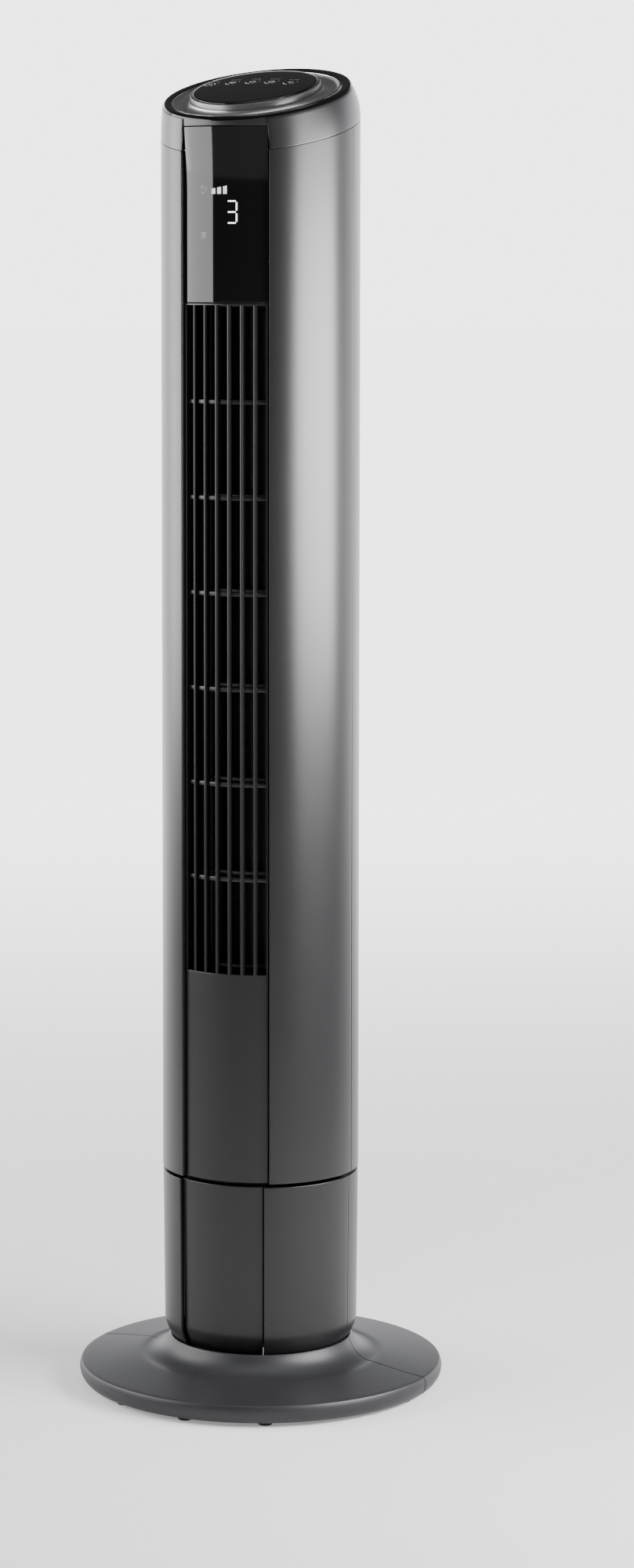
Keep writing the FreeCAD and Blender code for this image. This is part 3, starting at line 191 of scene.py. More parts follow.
def rounded_box(x0, x1, y0, y1, corner, step=4.0):
    """A rectangle with round corners, its long sides cut into steps so that it can be wrapped round a tube."""
    def run(p, q):
        return even(p, q, max(1, math.ceil(math.dist(p, q) / step)))

    def turn(cx, cy, start):
        angles = [math.radians(start + 22.5 * k) for k in range(1, 4)]
        return [(cx + corner * math.cos(a), cy + corner * math.sin(a)) for a in angles]

    c = corner
    return (
        run((x0 + c, y0), (x1 - c, y0)) + turn(x1 - c, y0 + c, -90)
        + run((x1, y0 + c), (x1, y1 - c)) + turn(x1 - c, y1 - c, 0)
        + run((x1 - c, y1), (x0 + c, y1)) + turn(x0 + c, y1 - c, 90)
        + run((x0, y1 - c), (x0, y0 + c)) + turn(x0 + c, y0 + c, 180)
    )


def circle(r, count=48, x=0.0, y=0.0):
    angles = [2 * math.pi * k / count for k in range(count)]
    return [(x + r * math.cos(a), y + r * math.sin(a)) for a in angles]


# ---- placing outline points ---------------------------------------------------------------------------
def at(around, r, z):
    a = math.radians(around)
    return Vector((r * math.sin(a), -r * math.cos(a), z)) * MM


def wrapped(p, r, z):
    """A point whose first number is its length round the column."""
    return at(math.degrees(p[0] / COLUMN_R), r, z)


def slope_point(x, y, rise, centre_y=DISH_Y):
    """A point of the sloping top: x and y in its plane from the centre, rise along its normal."""
    return Vector((
        x,
        y * TILT_COS - rise * TILT_SIN + centre_y,
        y * TILT_SIN + rise * TILT_COS + CREST_Z + SLOPE * centre_y,
    )) * MM


# ---- solids -------------------------------------------------------------------------------------------
SOFT_STEPS = 3


def loft(rings, closed=False, lids=None):
    """(vertices, faces) of the solid through equal rings of points, capped unless it closes on itself.

    lids are the triangles of the first and the last cap, where one flat face each won't do.
    """
    size = len(rings[0])
    verts = [v for ring in rings for v in ring]
    faces = []
    for k in range(len(rings) if closed else len(rings) - 1):
        a, b = k * size, ((k + 1) % len(rings)) * size
        for j in range(size):
            i = (j + 1) % size
            faces.append((a + j, a + i, b + i, b + j))
    if not closed:
        for start in (0, (len(rings) - 1) * size):
            for lid in lids or [tuple(range(size))]:
                faces.append(tuple(start + k for k in lid))
    return verts, faces


def swept(outline, stations, place, soft=EDGE, step=EDGE):
    """A solid of one section from the first station to the last, with both ends rounded.

    soft is the rounding's size in the section, and step is the same size in the station's own units.
    """
    first, last = stations[0], stations[-1]
    rings = []
    turns = [math.radians(90 * k / SOFT_STEPS) for k in range(SOFT_STEPS)] if soft else []
    for a in turns:
        section = inset(outline, soft * (1 - math.sin(a)))
        rings.append([place(p, first + step * (1 - math.cos(a))) for p in section])
    middle = stations
    if soft:
        hold = 1.8 * step       # a ring that keeps the rounding's shading off the wall
        middle = [first + step, first + hold, *stations[1:-1], last - hold, last - step]
    rings += [[place(p, s) for p in outline] for s in middle]
    for a in reversed(turns):
        section = inset(outline, soft * (1 - math.sin(a)))
        rings.append([place(p, last - step * (1 - math.cos(a))) for p in section])
    end = inset(outline, soft) if soft else outline
    return loft(rings, lids=tessellate_polygon([[Vector((*p, 0.0)) for p in end]]))


def turned(outline, place, count=144):
    """A ring-shaped solid: the outline carried all the way round. place takes a point and an angle around."""
    return loft([[place(p, 360.0 * k / count) for p in outline] for k in range(count)], closed=True)


def dished(profile, place, count=144):
    """A solid of revolution whose profile starts and ends on the axis side and is closed by flat caps."""
    rings = [[place(p, 360.0 * k / count) for k in range(count)] for p in profile]
    return loft(rings)


def plate_round(a0, a1, r_in, r_out, z0, z1, soft=EDGE):
    """A piece of a tube between two angles and two heights."""
    band = arc_around(r_out, a0, a1) + arc_around(r_in, a1, a0)
    return swept(softened(band), [z0, z1], lambda p, z: wrapped(p, p[1], z), soft, soft)


def slot_cutter(a0, a1, z0, z1, corner, r0=60.0, r1=80.0):
    """A cutter for a slot with round corners in the column's wall, between two angles and two heights."""
    u0, u1 = (math.radians(a) * COLUMN_R for a in (a0, a1))
    ends = [corner * (1 - math.cos(math.radians(15 * k))) for k in range(7)]
    middle = [u for u, _ in even((u0 + corner, 0), (u1 - corner, 0), max(2, math.ceil((u1 - u0) / 2.5)))]
    rings = []
    for u in [u0 + e for e in ends] + middle[1:-1] + [u1 - e for e in reversed(ends)]:
        side = max(0.0, corner - min(u - u0, u1 - u))
        drop = min(corner - math.sqrt(max(0.0, corner**2 - side**2)), (z1 - z0) / 2 - 0.02)
        section = [(r0, z0 + drop), (r1, z0 + drop), (r1, z1 - drop), (r0, z1 - drop)]
        rings.append([wrapped((u, 0), r, z) for r, z in section])
    return loft(rings)


def bolt_hole(x, z, r, y0, y1):
    return loft([[Vector((x + u, y, z + w)) * MM for u, w in circle(r, 24)] for y in (y0, y1)])


def solid(name, parts, turn=0.0, sharp=38.0):
    """One mesh object of the given closed parts, smooth except at sharp edges."""
    mesh = bpy.data.meshes.new(name)
    bm = bmesh.new()
    for verts, faces in parts:
        made = [bm.verts.new(v) for v in verts]
        for face in faces:
            bm.faces.new([made[k] for k in face])
    bmesh.ops.remove_doubles(bm, verts=bm.verts, dist=1e-7)
    bmesh.ops.recalc_face_normals(bm, faces=bm.faces)
    bm.to_mesh(mesh)
    bm.free()
    mesh.transform(Matrix.Rotation(math.radians(turn), 4, "Z"))
    smoothed(mesh, sharp)
    piece = bpy.data.objects.new(name, mesh)
    bpy.context.scene.collection.objects.link(piece)
    return piece


def smoothed(mesh, sharp=38.0):
    for polygon in mesh.polygons:
        polygon.use_smooth = True
    mesh.set_sharp_from_angle(angle=math.radians(sharp))


def applied(piece, sharp=38.0):
    """Turns a piece and its modifiers into one plain mesh."""
    bpy.context.view_layer.update()
    evaluated = piece.evaluated_get(bpy.context.evaluated_depsgraph_get())
    mesh = bpy.data.meshes.new_from_object(evaluated)
    piece.modifiers.clear()
    piece.data = mesh
    smoothed(mesh, sharp)
    return piece


def cut(piece, parts, turn=0.0):
    """Cuts closed parts out of a piece."""
    tool = solid("cutter", parts, turn)
    boolean = piece.modifiers.new("cut", "BOOLEAN")
    boolean.operation, boolean.solver, boolean.object = "DIFFERENCE", "EXACT", tool
    boolean.use_self = True
    applied(piece)
    bpy.data.objects.remove(tool)
    return piece


def round_walled(piece):
    """Shades a cut column wall as the true cylinder, so that its cuts leave no marks beside them."""
    mesh = piece.data
    normals = [Vector(corner.vector) for corner in mesh.corner_normals]
    for polygon in mesh.polygons:
        out = Vector((polygon.center.x, polygon.center.y, 0.0)).normalized()
        facing = polygon.normal.dot(out)
        if abs(facing) < 0.9995:
            continue
        for k in polygon.loop_indices:
            at_corner = mesh.vertices[mesh.loops[k].vertex_index].co
            normals[k] = Vector((at_corner.x, at_corner.y, 0.0)).normalized() * math.copysign(1.0, facing)
    mesh.normals_split_custom_set(normals)
    return piece


def edged(piece, width=0.3, angle=50.0):
    """Rounds a piece's sharp edges."""
    bevel = piece.modifiers.new("edges", "BEVEL")
    bevel.width, bevel.segments, bevel.limit_method = width * MM, 2, "ANGLE"
    bevel.angle_limit = math.radians(angle)
    return applied(piece)


def copy_of(node):
    """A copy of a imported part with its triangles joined, so that its round faces can be smooth."""
    source = frame["nodes"][node].data
    mesh = source.copy()
    bm = bmesh.new()
    bm.from_mesh(mesh)
    bmesh.ops.remove_doubles(bm, verts=bm.verts, dist=2e-6)
    bm.to_mesh(mesh)
    bm.free()
    smoothed(mesh, 30.0)
    piece = bpy.data.objects.new(node + "_finished", mesh)
    bpy.context.scene.collection.objects.link(piece)
    return piece


def settle(piece, body, material, slot, *nodes):
    """Gives a finished piece its material, hides the nodes it stands for and hangs it on the body it rides on. slot is
    not used.
    """
    piece.data.materials.clear()
    piece.data.materials.append(material)
    if nodes:
        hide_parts(*nodes)
    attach(piece, body)
    return piece


# ---- node recipes -------------------------------------------------------------------------------------
class Wire:
    """A node's output, with arithmetic that adds Math nodes."""

    def __init__(self, recipe, socket):
        self.recipe, self.socket = recipe, socket

    def also(self, name):
        """Another output of the same node."""
        return Wire(self.recipe, self.socket.node.outputs[name])

    def math(self, operation, *values):
        inputs = {k: v for k, v in enumerate(values)}
        return self.recipe.make("ShaderNodeMath", {"operation": operation}, inputs)

    def __add__(self, other):
        return self.math("ADD", self, other)

    def __sub__(self, other):
        return self.math("SUBTRACT", self, other)

    def __rsub__(self, other):
        return self.math("SUBTRACT", other, self)

    def __mul__(self, other):
        return self.math("MULTIPLY", self, other)

    def __pow__(self, other):
        return self.math("POWER", self, other)

    __radd__ = __add__
    __rmul__ = __mul__


class Recipe:
    """Adds nodes to a tree."""

    def __init__(self, tree):
        self.tree = tree

    def make(self, kind, settings=None, values=None, out=0):
        """A node of that type: its settings are set first, then its sockets' values or links."""
        node = self.tree.nodes.new(kind)
        for key, value in (settings or {}).items():
            if key == "stops":
                self.set_stops(node.color_ramp, value)
            else:
                setattr(node, key, value)
        for key, value in (values or {}).items():
            socket = node.inputs[key]
            for entry in value if isinstance(value, list) else [value]:
                if isinstance(entry, Wire):
                    self.tree.links.new(entry.socket, socket)
                else:
                    socket.default_value = entry
        return Wire(self, node.outputs[out])

    @staticmethod
    def set_stops(ramp, stops):
        for k, (place, level) in enumerate(stops):
            element = ramp.elements[k] if k < 2 else ramp.elements.new(place)
            element.position, element.color = place, (level, level, level, 1.0)

    def mixed(self, factor, first, second):
        """A colour between two colours."""
        return self.make("ShaderNodeMix", {"data_type": "RGBA"}, {0: factor, 6: first, 7: second}, out=2)


class Finish(Recipe):
    """A material: one Principled shader and the nodes that feed it."""

    def __init__(self, name, **fixed):
        self.material = bpy.data.materials.new(name)
        self.material.use_nodes = True
        super().__init__(self.material.node_tree)
        self.tree.nodes.clear()
        self.shader = self.tree.nodes.new("ShaderNodeBsdfPrincipled")
        output = self.tree.nodes.new("ShaderNodeOutputMaterial")
        self.tree.links.new(self.shader.outputs[0], output.inputs["Surface"])
        for key, value in fixed.items():
            self.shader.inputs[key.replace("_", " ")].default_value = value
        self.place = self.make("ShaderNodeTexCoord", out="Object")

    def feed(self, socket, wire):
        self.tree.links.new(wire.socket, self.shader.inputs[socket])

    def noise(self, per_metre, detail=2.0, place=None, roughness=0.5):
        values = {"Vector": place or self.place, "Scale": per_metre, "Detail": detail, "Roughness": roughness}
        return self.make("ShaderNodeTexNoise", None, values)

    def stretched(self, x, y, z, move=(0, 0, 0), turn=(0, 0, 0)):
        """Object coordinates, moved, turned and scaled."""
        values = {"Vector": self.place, "Location": move, "Rotation": turn, "Scale": (x, y, z)}
        return self.make("ShaderNodeMapping", {"vector_type": "POINT"}, values)

    def ramp(self, wire, low, high, from_level=0.0, to_level=1.0):
        stops = [(low, from_level), (high, to_level)]
        return self.make("ShaderNodeValToRGB", {"stops": stops}, {0: wire})

    def bumped(self, height, depth, strength=1.0, under=None):
        values = {"Height": height, "Distance": depth, "Strength": strength}
        if under:
            values["Normal"] = under
        return self.make("ShaderNodeBump", None, values)


def shade(colour, factor):
    return tuple(min(1.0, c * factor) for c in colour[:3]) + (1.0,)


# ---- materials ----------------------------------------------------------------------------------------
def moulded(name, colour, roughness=0.42, grain=1500.0, depth=0.00002, specular=0.5):
    """Injection-moulded plastic from a spark-eroded tool: fine grain, slow colour clouds, faint flow lines."""
    f = Finish(name, Specular_IOR_Level=specular)
    clouds = f.noise(9.0, 3.0)
    flow = f.noise(1.0, 4.0, f.stretched(60.0, 60.0, 7.0))
    grain_wire = f.noise(grain, 2.0)
    pits = f.make("ShaderNodeTexVoronoi", {"feature": "F1"}, {"Vector": f.place, "Scale": grain * 0.6})
    blend = f.ramp(clouds * 0.6 + flow * 0.25 + grain_wire * 0.15, 0.3, 0.7)
    f.feed("Base Color", f.mixed(blend, shade(colour, 0.86), shade(colour, 1.14)))
    f.feed("Roughness", clouds * 0.06 + grain_wire * 0.08 + (roughness - 0.07))
    f.feed("Normal", f.bumped(grain_wire * 0.6 + pits * 0.4, depth, 0.35))
    return f.material


def lacquered(name, colour, roughness=0.035, coat=0.08):
    """High-gloss black: a deep surface with faint polishing swirls and a little dust."""
    f = Finish(name, Coat_Roughness=0.02, Specular_IOR_Level=0.38)
    f.shader.inputs["Coat Weight"].default_value = coat
    haze = f.noise(14.0, 4.0)
    dust = f.ramp(f.noise(2600.0, 1.0), 0.72, 0.82)
    swirl = f.noise(1.0, 3.0, f.stretched(900.0, 40.0, 40.0))
    f.feed("Base Color", f.mixed(dust * 0.25, colour, shade(colour, 6.0)))
    f.feed("Roughness", haze * 0.02 + dust * 0.12 + swirl * 0.015 + roughness)
    f.feed("Normal", f.bumped(haze, 0.00004, 0.12))
    return f.material


def spun(name, colour, roughness=0.3, metallic=1.0, centre=(0.0, 0.0, 0.0), tilt=0.0, streak=0.35):
    """Metallic finish with fine marks that run round a centre, as if turned on a lathe."""
    f = Finish(name, Specular_IOR_Level=0.5)
    local = f.make("ShaderNodeMapping", {"vector_type": "TEXTURE"},
                   {"Vector": f.place, "Location": centre, "Rotation": (tilt, 0, 0)})
    parts = f.make("ShaderNodeSeparateXYZ", None, {0: local})
    x, y = parts, parts.also("Y")
    radius = (x * x + y * y) ** 0.5
    angle = x.math("ARCTAN2", y, x)
    lines = f.make("ShaderNodeCombineXYZ", None, {0: radius * 5200.0, 1: angle * 1.6, 2: 0.0})
    streaks = f.make("ShaderNodeTexNoise", None, {"Vector": lines, "Scale": 1.0, "Detail": 3.0})
    clouds = f.noise(40.0, 2.0)
    f.feed("Base Color", f.mixed(streaks * streak + clouds * 0.2, shade(colour, 0.8), shade(colour, 1.15)))
    f.feed("Metallic", clouds * 0.04 + (metallic - 0.04))
    f.feed("Roughness", streaks * 0.14 + (roughness - 0.07))
    f.feed("Normal", f.bumped(streaks, 0.00001, 0.3))
    return f.material


def rubber(name, colour):
    """Matt elastomer with a fine pebbled skin and a little bloom."""
    f = Finish(name, Specular_IOR_Level=0.35)
    pebbles = f.make("ShaderNodeTexVoronoi", {"feature": "SMOOTH_F1"}, {"Vector": f.place, "Scale": 1400.0})
    bloom = f.ramp(f.noise(110.0, 4.0), 0.45, 0.75)
    f.feed("Base Color", f.mixed(bloom * 0.5, colour, shade(colour, 1.9)))
    f.feed("Roughness", bloom * 0.12 + 0.72)
    f.feed("Normal", f.bumped(pebbles, 0.00006, 0.5))
    return f.material


def metal(name, colour, roughness=0.35, scratch=(300.0, 300.0, 1400.0)):
    """Plated or bare metal: fine drawn scratches and a slightly uneven tone."""
    f = Finish(name, Metallic=1.0)
    scratches = f.noise(1.0, 4.0, f.stretched(*scratch))
    spots = f.noise(230.0, 3.0)
    f.feed("Base Color", f.mixed(spots * 0.6 + scratches * 0.3, shade(colour, 0.72), shade(colour, 1.12)))
    f.feed("Roughness", scratches * 0.2 + (roughness - 0.1))
    f.feed("Normal", f.bumped(scratches, 0.00002, 0.3))
    return f.material


def laminated(name, colour):
    """Stacked stampings: half-millimetre layers with oxide between them."""
    f = Finish(name, Metallic=0.9)
    layers = f.make("ShaderNodeTexWave", {"wave_type": "BANDS", "bands_direction": "Z"},
                    {"Vector": f.place, "Scale": 320.0, "Distortion": 0.3, "Detail": 1.0})
    rust = f.ramp(f.noise(90.0, 4.0), 0.55, 0.8)
    tone = f.mixed(layers * 0.8, shade(colour, 0.45), shade(colour, 1.1))
    f.feed("Base Color", f.mixed(rust * 0.4, tone, (0.14, 0.07, 0.04, 1.0)))
    f.feed("Roughness", layers * -0.15 + 0.55)
    f.feed("Normal", f.bumped(layers, 0.0001, 0.6))
    return f.material


def wound(name, colour):
    """Enamelled wire laid in turns."""
    f = Finish(name, Metallic=0.85, Coat_Roughness=0.1)
    f.shader.inputs["Coat Weight"].default_value = 0.6
    strands = f.make("ShaderNodeTexWave", {"wave_type": "RINGS", "rings_direction": "Z"},
                     {"Vector": f.place, "Scale": 420.0, "Distortion": 2.5, "Detail": 2.0, "Detail Scale": 1.5})
    f.feed("Base Color", f.mixed(strands, shade(colour, 0.35), shade(colour, 1.2)))
    f.feed("Roughness", strands * 0.15 + 0.22)
    f.feed("Normal", f.bumped(strands, 0.0002, 0.9))
    return f.material


def circuit(name, colour):
    """A circuit board: green solder mask over copper tracks, with pads."""
    f = Finish(name, Coat_Roughness=0.15)
    f.shader.inputs["Coat Weight"].default_value = 0.4
    tracks = f.make("ShaderNodeTexBrick", {"offset": 0.37, "squash": 1.6},
                    {"Vector": f.place, "Scale": 160.0, "Mortar Size": 0.05, "Color1": (0, 0, 0, 1),
                     "Color2": (0, 0, 0, 1), "Mortar": (1, 1, 1, 1)})
    pads = f.ramp(f.make("ShaderNodeTexVoronoi", None, {"Vector": f.place, "Scale": 260.0}), 0.12, 0.16, 1.0, 0.0)
    board = f.mixed(tracks, colour, shade(colour, 2.1))
    f.feed("Base Color", f.mixed(pads, board, (0.6, 0.6, 0.58, 1.0)))
    f.feed("Metallic", pads * 0.8)
    f.feed("Roughness", pads * -0.1 + 0.42)
    f.feed("Normal", f.bumped(pads * 0.7 + tracks * 0.3, 0.00008, 0.5))
    return f.material


def printed(name, colour):
    """Screen-printed ink, slightly uneven in cover."""
    f = Finish(name)
    cover = f.ramp(f.noise(900.0, 3.0), 0.3, 0.7)
    f.feed("Base Color", f.mixed(cover, shade(colour, 0.78), colour))
    f.feed("Roughness", cover * 0.1 + 0.4)
    f.feed("Normal", f.bumped(cover, 0.00001, 0.3))
    return f.material


def lit(name, colour, strength):
    """Light seen through the smoked window, brighter in the middle of each diode's cell."""
    f = Finish(name, Roughness=0.3)
    cells = f.ramp(f.noise(300.0, 1.0), 0.2, 0.8, 0.82, 1.0)
    f.feed("Base Color", f.mixed(cells, shade(colour, 0.05), shade(colour, 0.08)))
    f.feed("Emission Color", f.mixed(cells, shade(colour, 0.7), colour))
    f.shader.inputs["Emission Strength"].default_value = strength
    return f.material


# ---- settings a user may change -----------------------------------------------------------------------
def colour_property(name, default, description):
    return FloatVectorProperty(name=name, description=description, default=default, subtype="COLOR", size=4,
                               min=0.0, max=1.0)


class FanFinishes(bpy.types.PropertyGroup):
    shell: colour_property("Casing", (0.0072, 0.0072, 0.0079, 1.0), "Colour of the column's side and rear casings")
    base: colour_property("Base", (0.014, 0.014, 0.0165, 1.0), "Colour of the round base")
    strip: colour_property("Front strip", (0.0065, 0.0065, 0.0069, 1.0), "Colour of the front strip and grilles")
    inner: colour_property("Inner parts", (0.006, 0.006, 0.0065, 1.0), "Colour of hidden mouldings")
    gloss: colour_property("Gloss black", (0.0022, 0.0022, 0.0024, 1.0), "Colour of window, bezel and touch panel")
    dish: colour_property("Dish", (0.48, 0.48, 0.485, 1.0), "Colour of the satin metallic dish")
    rim: colour_property("Panel rim", (0.16, 0.155, 0.155, 1.0), "Colour of the raised panel's side wall")
    ink: colour_property("Printing", (0.8, 0.8, 0.81, 1.0), "Colour of the printed symbols")
    light: colour_property("Display light", (0.93, 0.97, 1.0, 1.0), "Colour of the lit digit and symbols")


class FanSizes(bpy.types.PropertyGroup):
    slats: IntProperty(name="Slats", description="Upright slats in the outlet", default=6, min=1, max=20)
    slat_pitch: FloatProperty(name="Slat pitch", description="Angle between slats", default=math.radians(7.9),
                              subtype="ANGLE")
    slat_width: FloatProperty(name="Slat width", description="Thickness of each slat", default=0.0019,
                              unit="LENGTH", min=0.0005)
    slat_depth: FloatProperty(name="Slat depth", description="Depth of each slat, front to back", default=0.005,
                              unit="LENGTH", min=0.001)
    bays: IntProperty(name="Bays", description="Bays between the outlet's cross ribs", default=7, min=1, max=20)
    rib_height: FloatProperty(name="Rib height", description="Height of each cross rib", default=0.0032,
                              unit="LENGTH", min=0.001)
    louvre_pitch: FloatProperty(name="Louvre pitch", description="Spacing of the intake's bars", default=0.0075,
                                unit="LENGTH", min=0.003)
    louvre_height: FloatProperty(name="Louvre height", description="Height of each intake bar", default=0.0031,
                                 unit="LENGTH", min=0.001)
    uprights: IntProperty(name="Uprights", description="Upright bars in the intake", default=5, min=0, max=20)
    keys: IntProperty(name="Keys", description="Symbols on the touch panel", default=5, min=1, max=9)
    key_pitch: FloatProperty(name="Key pitch", description="Spacing of the touch keys", default=0.015,
                             unit="LENGTH", min=0.005)


class StudioSettings(bpy.types.PropertyGroup):
    camera_around: FloatProperty(name="Camera around", description="Camera's angle from the fan's front",
                                 default=math.radians(26.5), subtype="ANGLE")
    camera_distance: FloatProperty(name="Camera distance", description="Level distance from the column's axis",
                                   default=2.826, unit="LENGTH")
    camera_height: FloatProperty(name="Camera height", description="Height of the camera above the floor",
                                 default=0.807, unit="LENGTH")
    camera_tilt: FloatProperty(name="Camera tilt", description="How far the camera looks down",
                               default=math.radians(5.11), subtype="ANGLE")
    lens: FloatProperty(name="Lens", description="Focal length in millimetres", default=92.0, min=10.0)


# ---- geometry node trees ------------------------------------------------------------------------------
class Growth(Recipe):
    """A geometry node tree with named inputs."""

    KINDS = {"length": "NodeSocketFloat", "angle": "NodeSocketFloat", "count": "NodeSocketInt",
             "object": "NodeSocketObject", "material": "NodeSocketMaterial"}

    def __init__(self, name, inputs):
        tree = bpy.data.node_groups.new(name, "GeometryNodeTree")
        super().__init__(tree)
        tree.interface.new_socket("Geometry", in_out="INPUT", socket_type="NodeSocketGeometry")
        for label, kind in inputs.items():
            tree.interface.new_socket(label, in_out="INPUT", socket_type=self.KINDS[kind])
        tree.interface.new_socket("Geometry", in_out="OUTPUT", socket_type="NodeSocketGeometry")
        self.given = tree.nodes.new("NodeGroupInput")

    def take(self, label):
        return Wire(self, self.given.outputs[label])

    def end(self, geometry):
        """Realizes the instances, sets the material and closes the tree."""
        real = self.make("GeometryNodeRealizeInstances", None, {0: geometry})
        painted = self.make("GeometryNodeSetMaterial", None, {0: real, "Material": self.take("Material")})
        output = self.tree.nodes.new("NodeGroupOutput")
        self.tree.links.new(painted.socket, output.inputs[0])
        return self.tree

    def point(self, x=0.0, y=0.0, z=0.0):
        return self.make("ShaderNodeCombineXYZ", None, {0: x, 1: y, 2: z})

    def rounded_bar(self, path, width, height, corner):
        """A bar of rounded rectangular section along a path."""
        section = self.make("GeometryNodeCurvePrimitiveQuadrilateral", {"mode": "RECTANGLE"},
                            {"Width": width, "Height": height})
        soft = self.make("GeometryNodeFilletCurve", {"mode": "POLY"}, {"Curve": section, "Radius": corner, "Count": 2})
        return self.make("GeometryNodeCurveToMesh", None, {"Curve": path, "Profile Curve": soft, "Fill Caps": True})


def slats_tree():
    """Upright bars side by side on an arc, all square to the front."""
    g = Growth("slats", {"Count": "count", "Pitch": "angle", "Radius": "length", "Width": "length",
                         "Depth": "length", "Bottom": "length", "Top": "length", "Corner": "length",
                         "Material": "material"})
    line = g.make("GeometryNodeCurvePrimitiveLine", None,
                  {"Start": g.point(z=g.take("Bottom")), "End": g.point(z=g.take("Top"))})
    bar = g.rounded_bar(line, g.take("Width"), g.take("Depth"), g.take("Corner"))
    points = g.make("GeometryNodeMeshLine", None, {"Count": g.take("Count"), "Offset": (0, 0, 0)})
    index = g.make("GeometryNodeInputIndex")
    angle = (index - (g.take("Count") - 1.0) * 0.5) * g.take("Pitch")
    x = angle.math("SINE", angle) * g.take("Radius")
    y = (g.take("Radius") * g.take("Radius") - x * x) ** 0.5
    spread = g.make("GeometryNodeSetPosition", None, {0: points, "Offset": g.point(x, g.take("Depth") * 0.5 - y)})
    return g.end(g.make("GeometryNodeInstanceOnPoints", None, {"Points": spread, "Instance": bar}))


def hoops_tree():
    """Curved bars stacked at an even pitch."""
    g = Growth("hoops", {"Count": "count", "Pitch": "length", "Bottom": "length", "Radius": "length",
                         "Start": "angle", "Sweep": "angle", "Steps": "count", "Height": "length",
                         "Depth": "length", "Corner": "length", "Material": "material"})
    arc = g.make("GeometryNodeCurveArc", None,
                 {"Resolution": g.take("Steps"), "Radius": g.take("Radius"), "Start Angle": g.take("Start"),
                  "Sweep Angle": g.take("Sweep")})
    bar = g.rounded_bar(arc, g.take("Depth"), g.take("Height"), g.take("Corner"))
    points = g.make("GeometryNodeMeshLine", None,
                    {"Count": g.take("Count"), "Start Location": g.point(z=g.take("Bottom")),
                     "Offset": g.point(z=g.take("Pitch"))})
    return g.end(g.make("GeometryNodeInstanceOnPoints", None, {"Points": points, "Instance": bar}))


def copies_tree():
    """Copies of one object on the given points, each turned about Z by its point's turn."""
    g = Growth("copies", {"Pattern": "object", "Material": "material"})
    pattern = g.make("GeometryNodeObjectInfo", {"transform_space": "ORIGINAL"}, {"Object": g.take("Pattern")},
                     out="Geometry")
    turn = g.make("GeometryNodeInputNamedAttribute", {"data_type": "FLOAT_VECTOR"}, {"Name": "aim"})
    values = {"Points": g.take("Geometry"), "Instance": pattern, "Rotation": turn}
    return g.end(g.make("GeometryNodeInstanceOnPoints", None, values))


def grown(name, tree, values, points=None, aims=None, turn=0.0):
    """Runs a geometry node tree and keeps its result as one plain mesh."""
    mesh = bpy.data.meshes.new(name)
    mesh.from_pydata(points or [], [], [])
    if aims:
        mesh.attributes.new("aim", "FLOAT_VECTOR", "POINT").data.foreach_set("vector", [c for a in aims for c in a])
    piece = bpy.data.objects.new(name, mesh)
    bpy.context.scene.collection.objects.link(piece)
    modifier = piece.modifiers.new(name, "NODES")
    modifier.node_group = tree
    for item in tree.interface.items_tree:
        if item.item_type == "SOCKET" and item.in_out == "INPUT" and item.name in values:
            modifier[item.identifier] = values[item.name]
    applied(piece, 50.0)
    bm = bmesh.new()
    bm.from_mesh(piece.data)
    bmesh.ops.recalc_face_normals(bm, faces=bm.faces)
    bm.to_mesh(piece.data)
    bm.free()
    piece.data.transform(Matrix.Rotation(math.radians(turn), 4, "Z"))
    return piece


def joined(first, *others):
    """Puts the meshes of several pieces into the first one."""
    bm = bmesh.new()
    for piece in (first, *others):
        bm.from_mesh(piece.data)
    bm.to_mesh(first.data)
    bm.free()
    smoothed(first.data)
    for piece in others:
        bpy.data.objects.remove(piece)
    return first


# ---- base ---------------------------------------------------------------------------------------------
RIM_TOP = (128.6, 15.8)
COLLAR = (64.6, 34.0)
SEAM_SWEEP, SEAM_INNER = 13.6, 62.0


def base_outline():
    return softened(
        bow((126.6, 3.0), (BASE_R, 9.6), RIM_TOP, 10)
        + even(RIM_TOP, (86.0, 20.6), 12)[1:]
        + bow((86.0, 20.6), (72.4, 23.9), (66.0, 32.0), 12)[1:]
        + [COLLAR, (63.2, 33.0), (63.2, 15.0), (36.0, 15.0), (36.0, SHELF_Z), (65.6, SHELF_Z), (65.6, 25.5),
           (70.6, 20.8)]
        + even((86.0, 18.0), (125.2, 13.9), 8)
        + bow((125.2, 13.9), (127.4, 9.6), (123.6, 3.0), 8)[1:],
        0.6,
    )


def seam_shift(r):
    """How far round the swept seam has moved at a radius, in degrees. Inside its arc it runs straight."""
    reach = BASE_R - 64.0
    bend = (reach**2 + SEAM_SWEEP**2) / (2 * SEAM_SWEEP)
    x, y = r, 0.0
    for _ in range(12):
        x = max(SEAM_INNER, x)
        y = bend - math.sqrt(bend * bend - (BASE_R - x) ** 2)
        if x > SEAM_INNER or r > math.hypot(x, y):
            x = math.sqrt(max(0.0, r * r - y * y))
    return math.degrees(math.atan2(y, max(SEAM_INNER, x)))


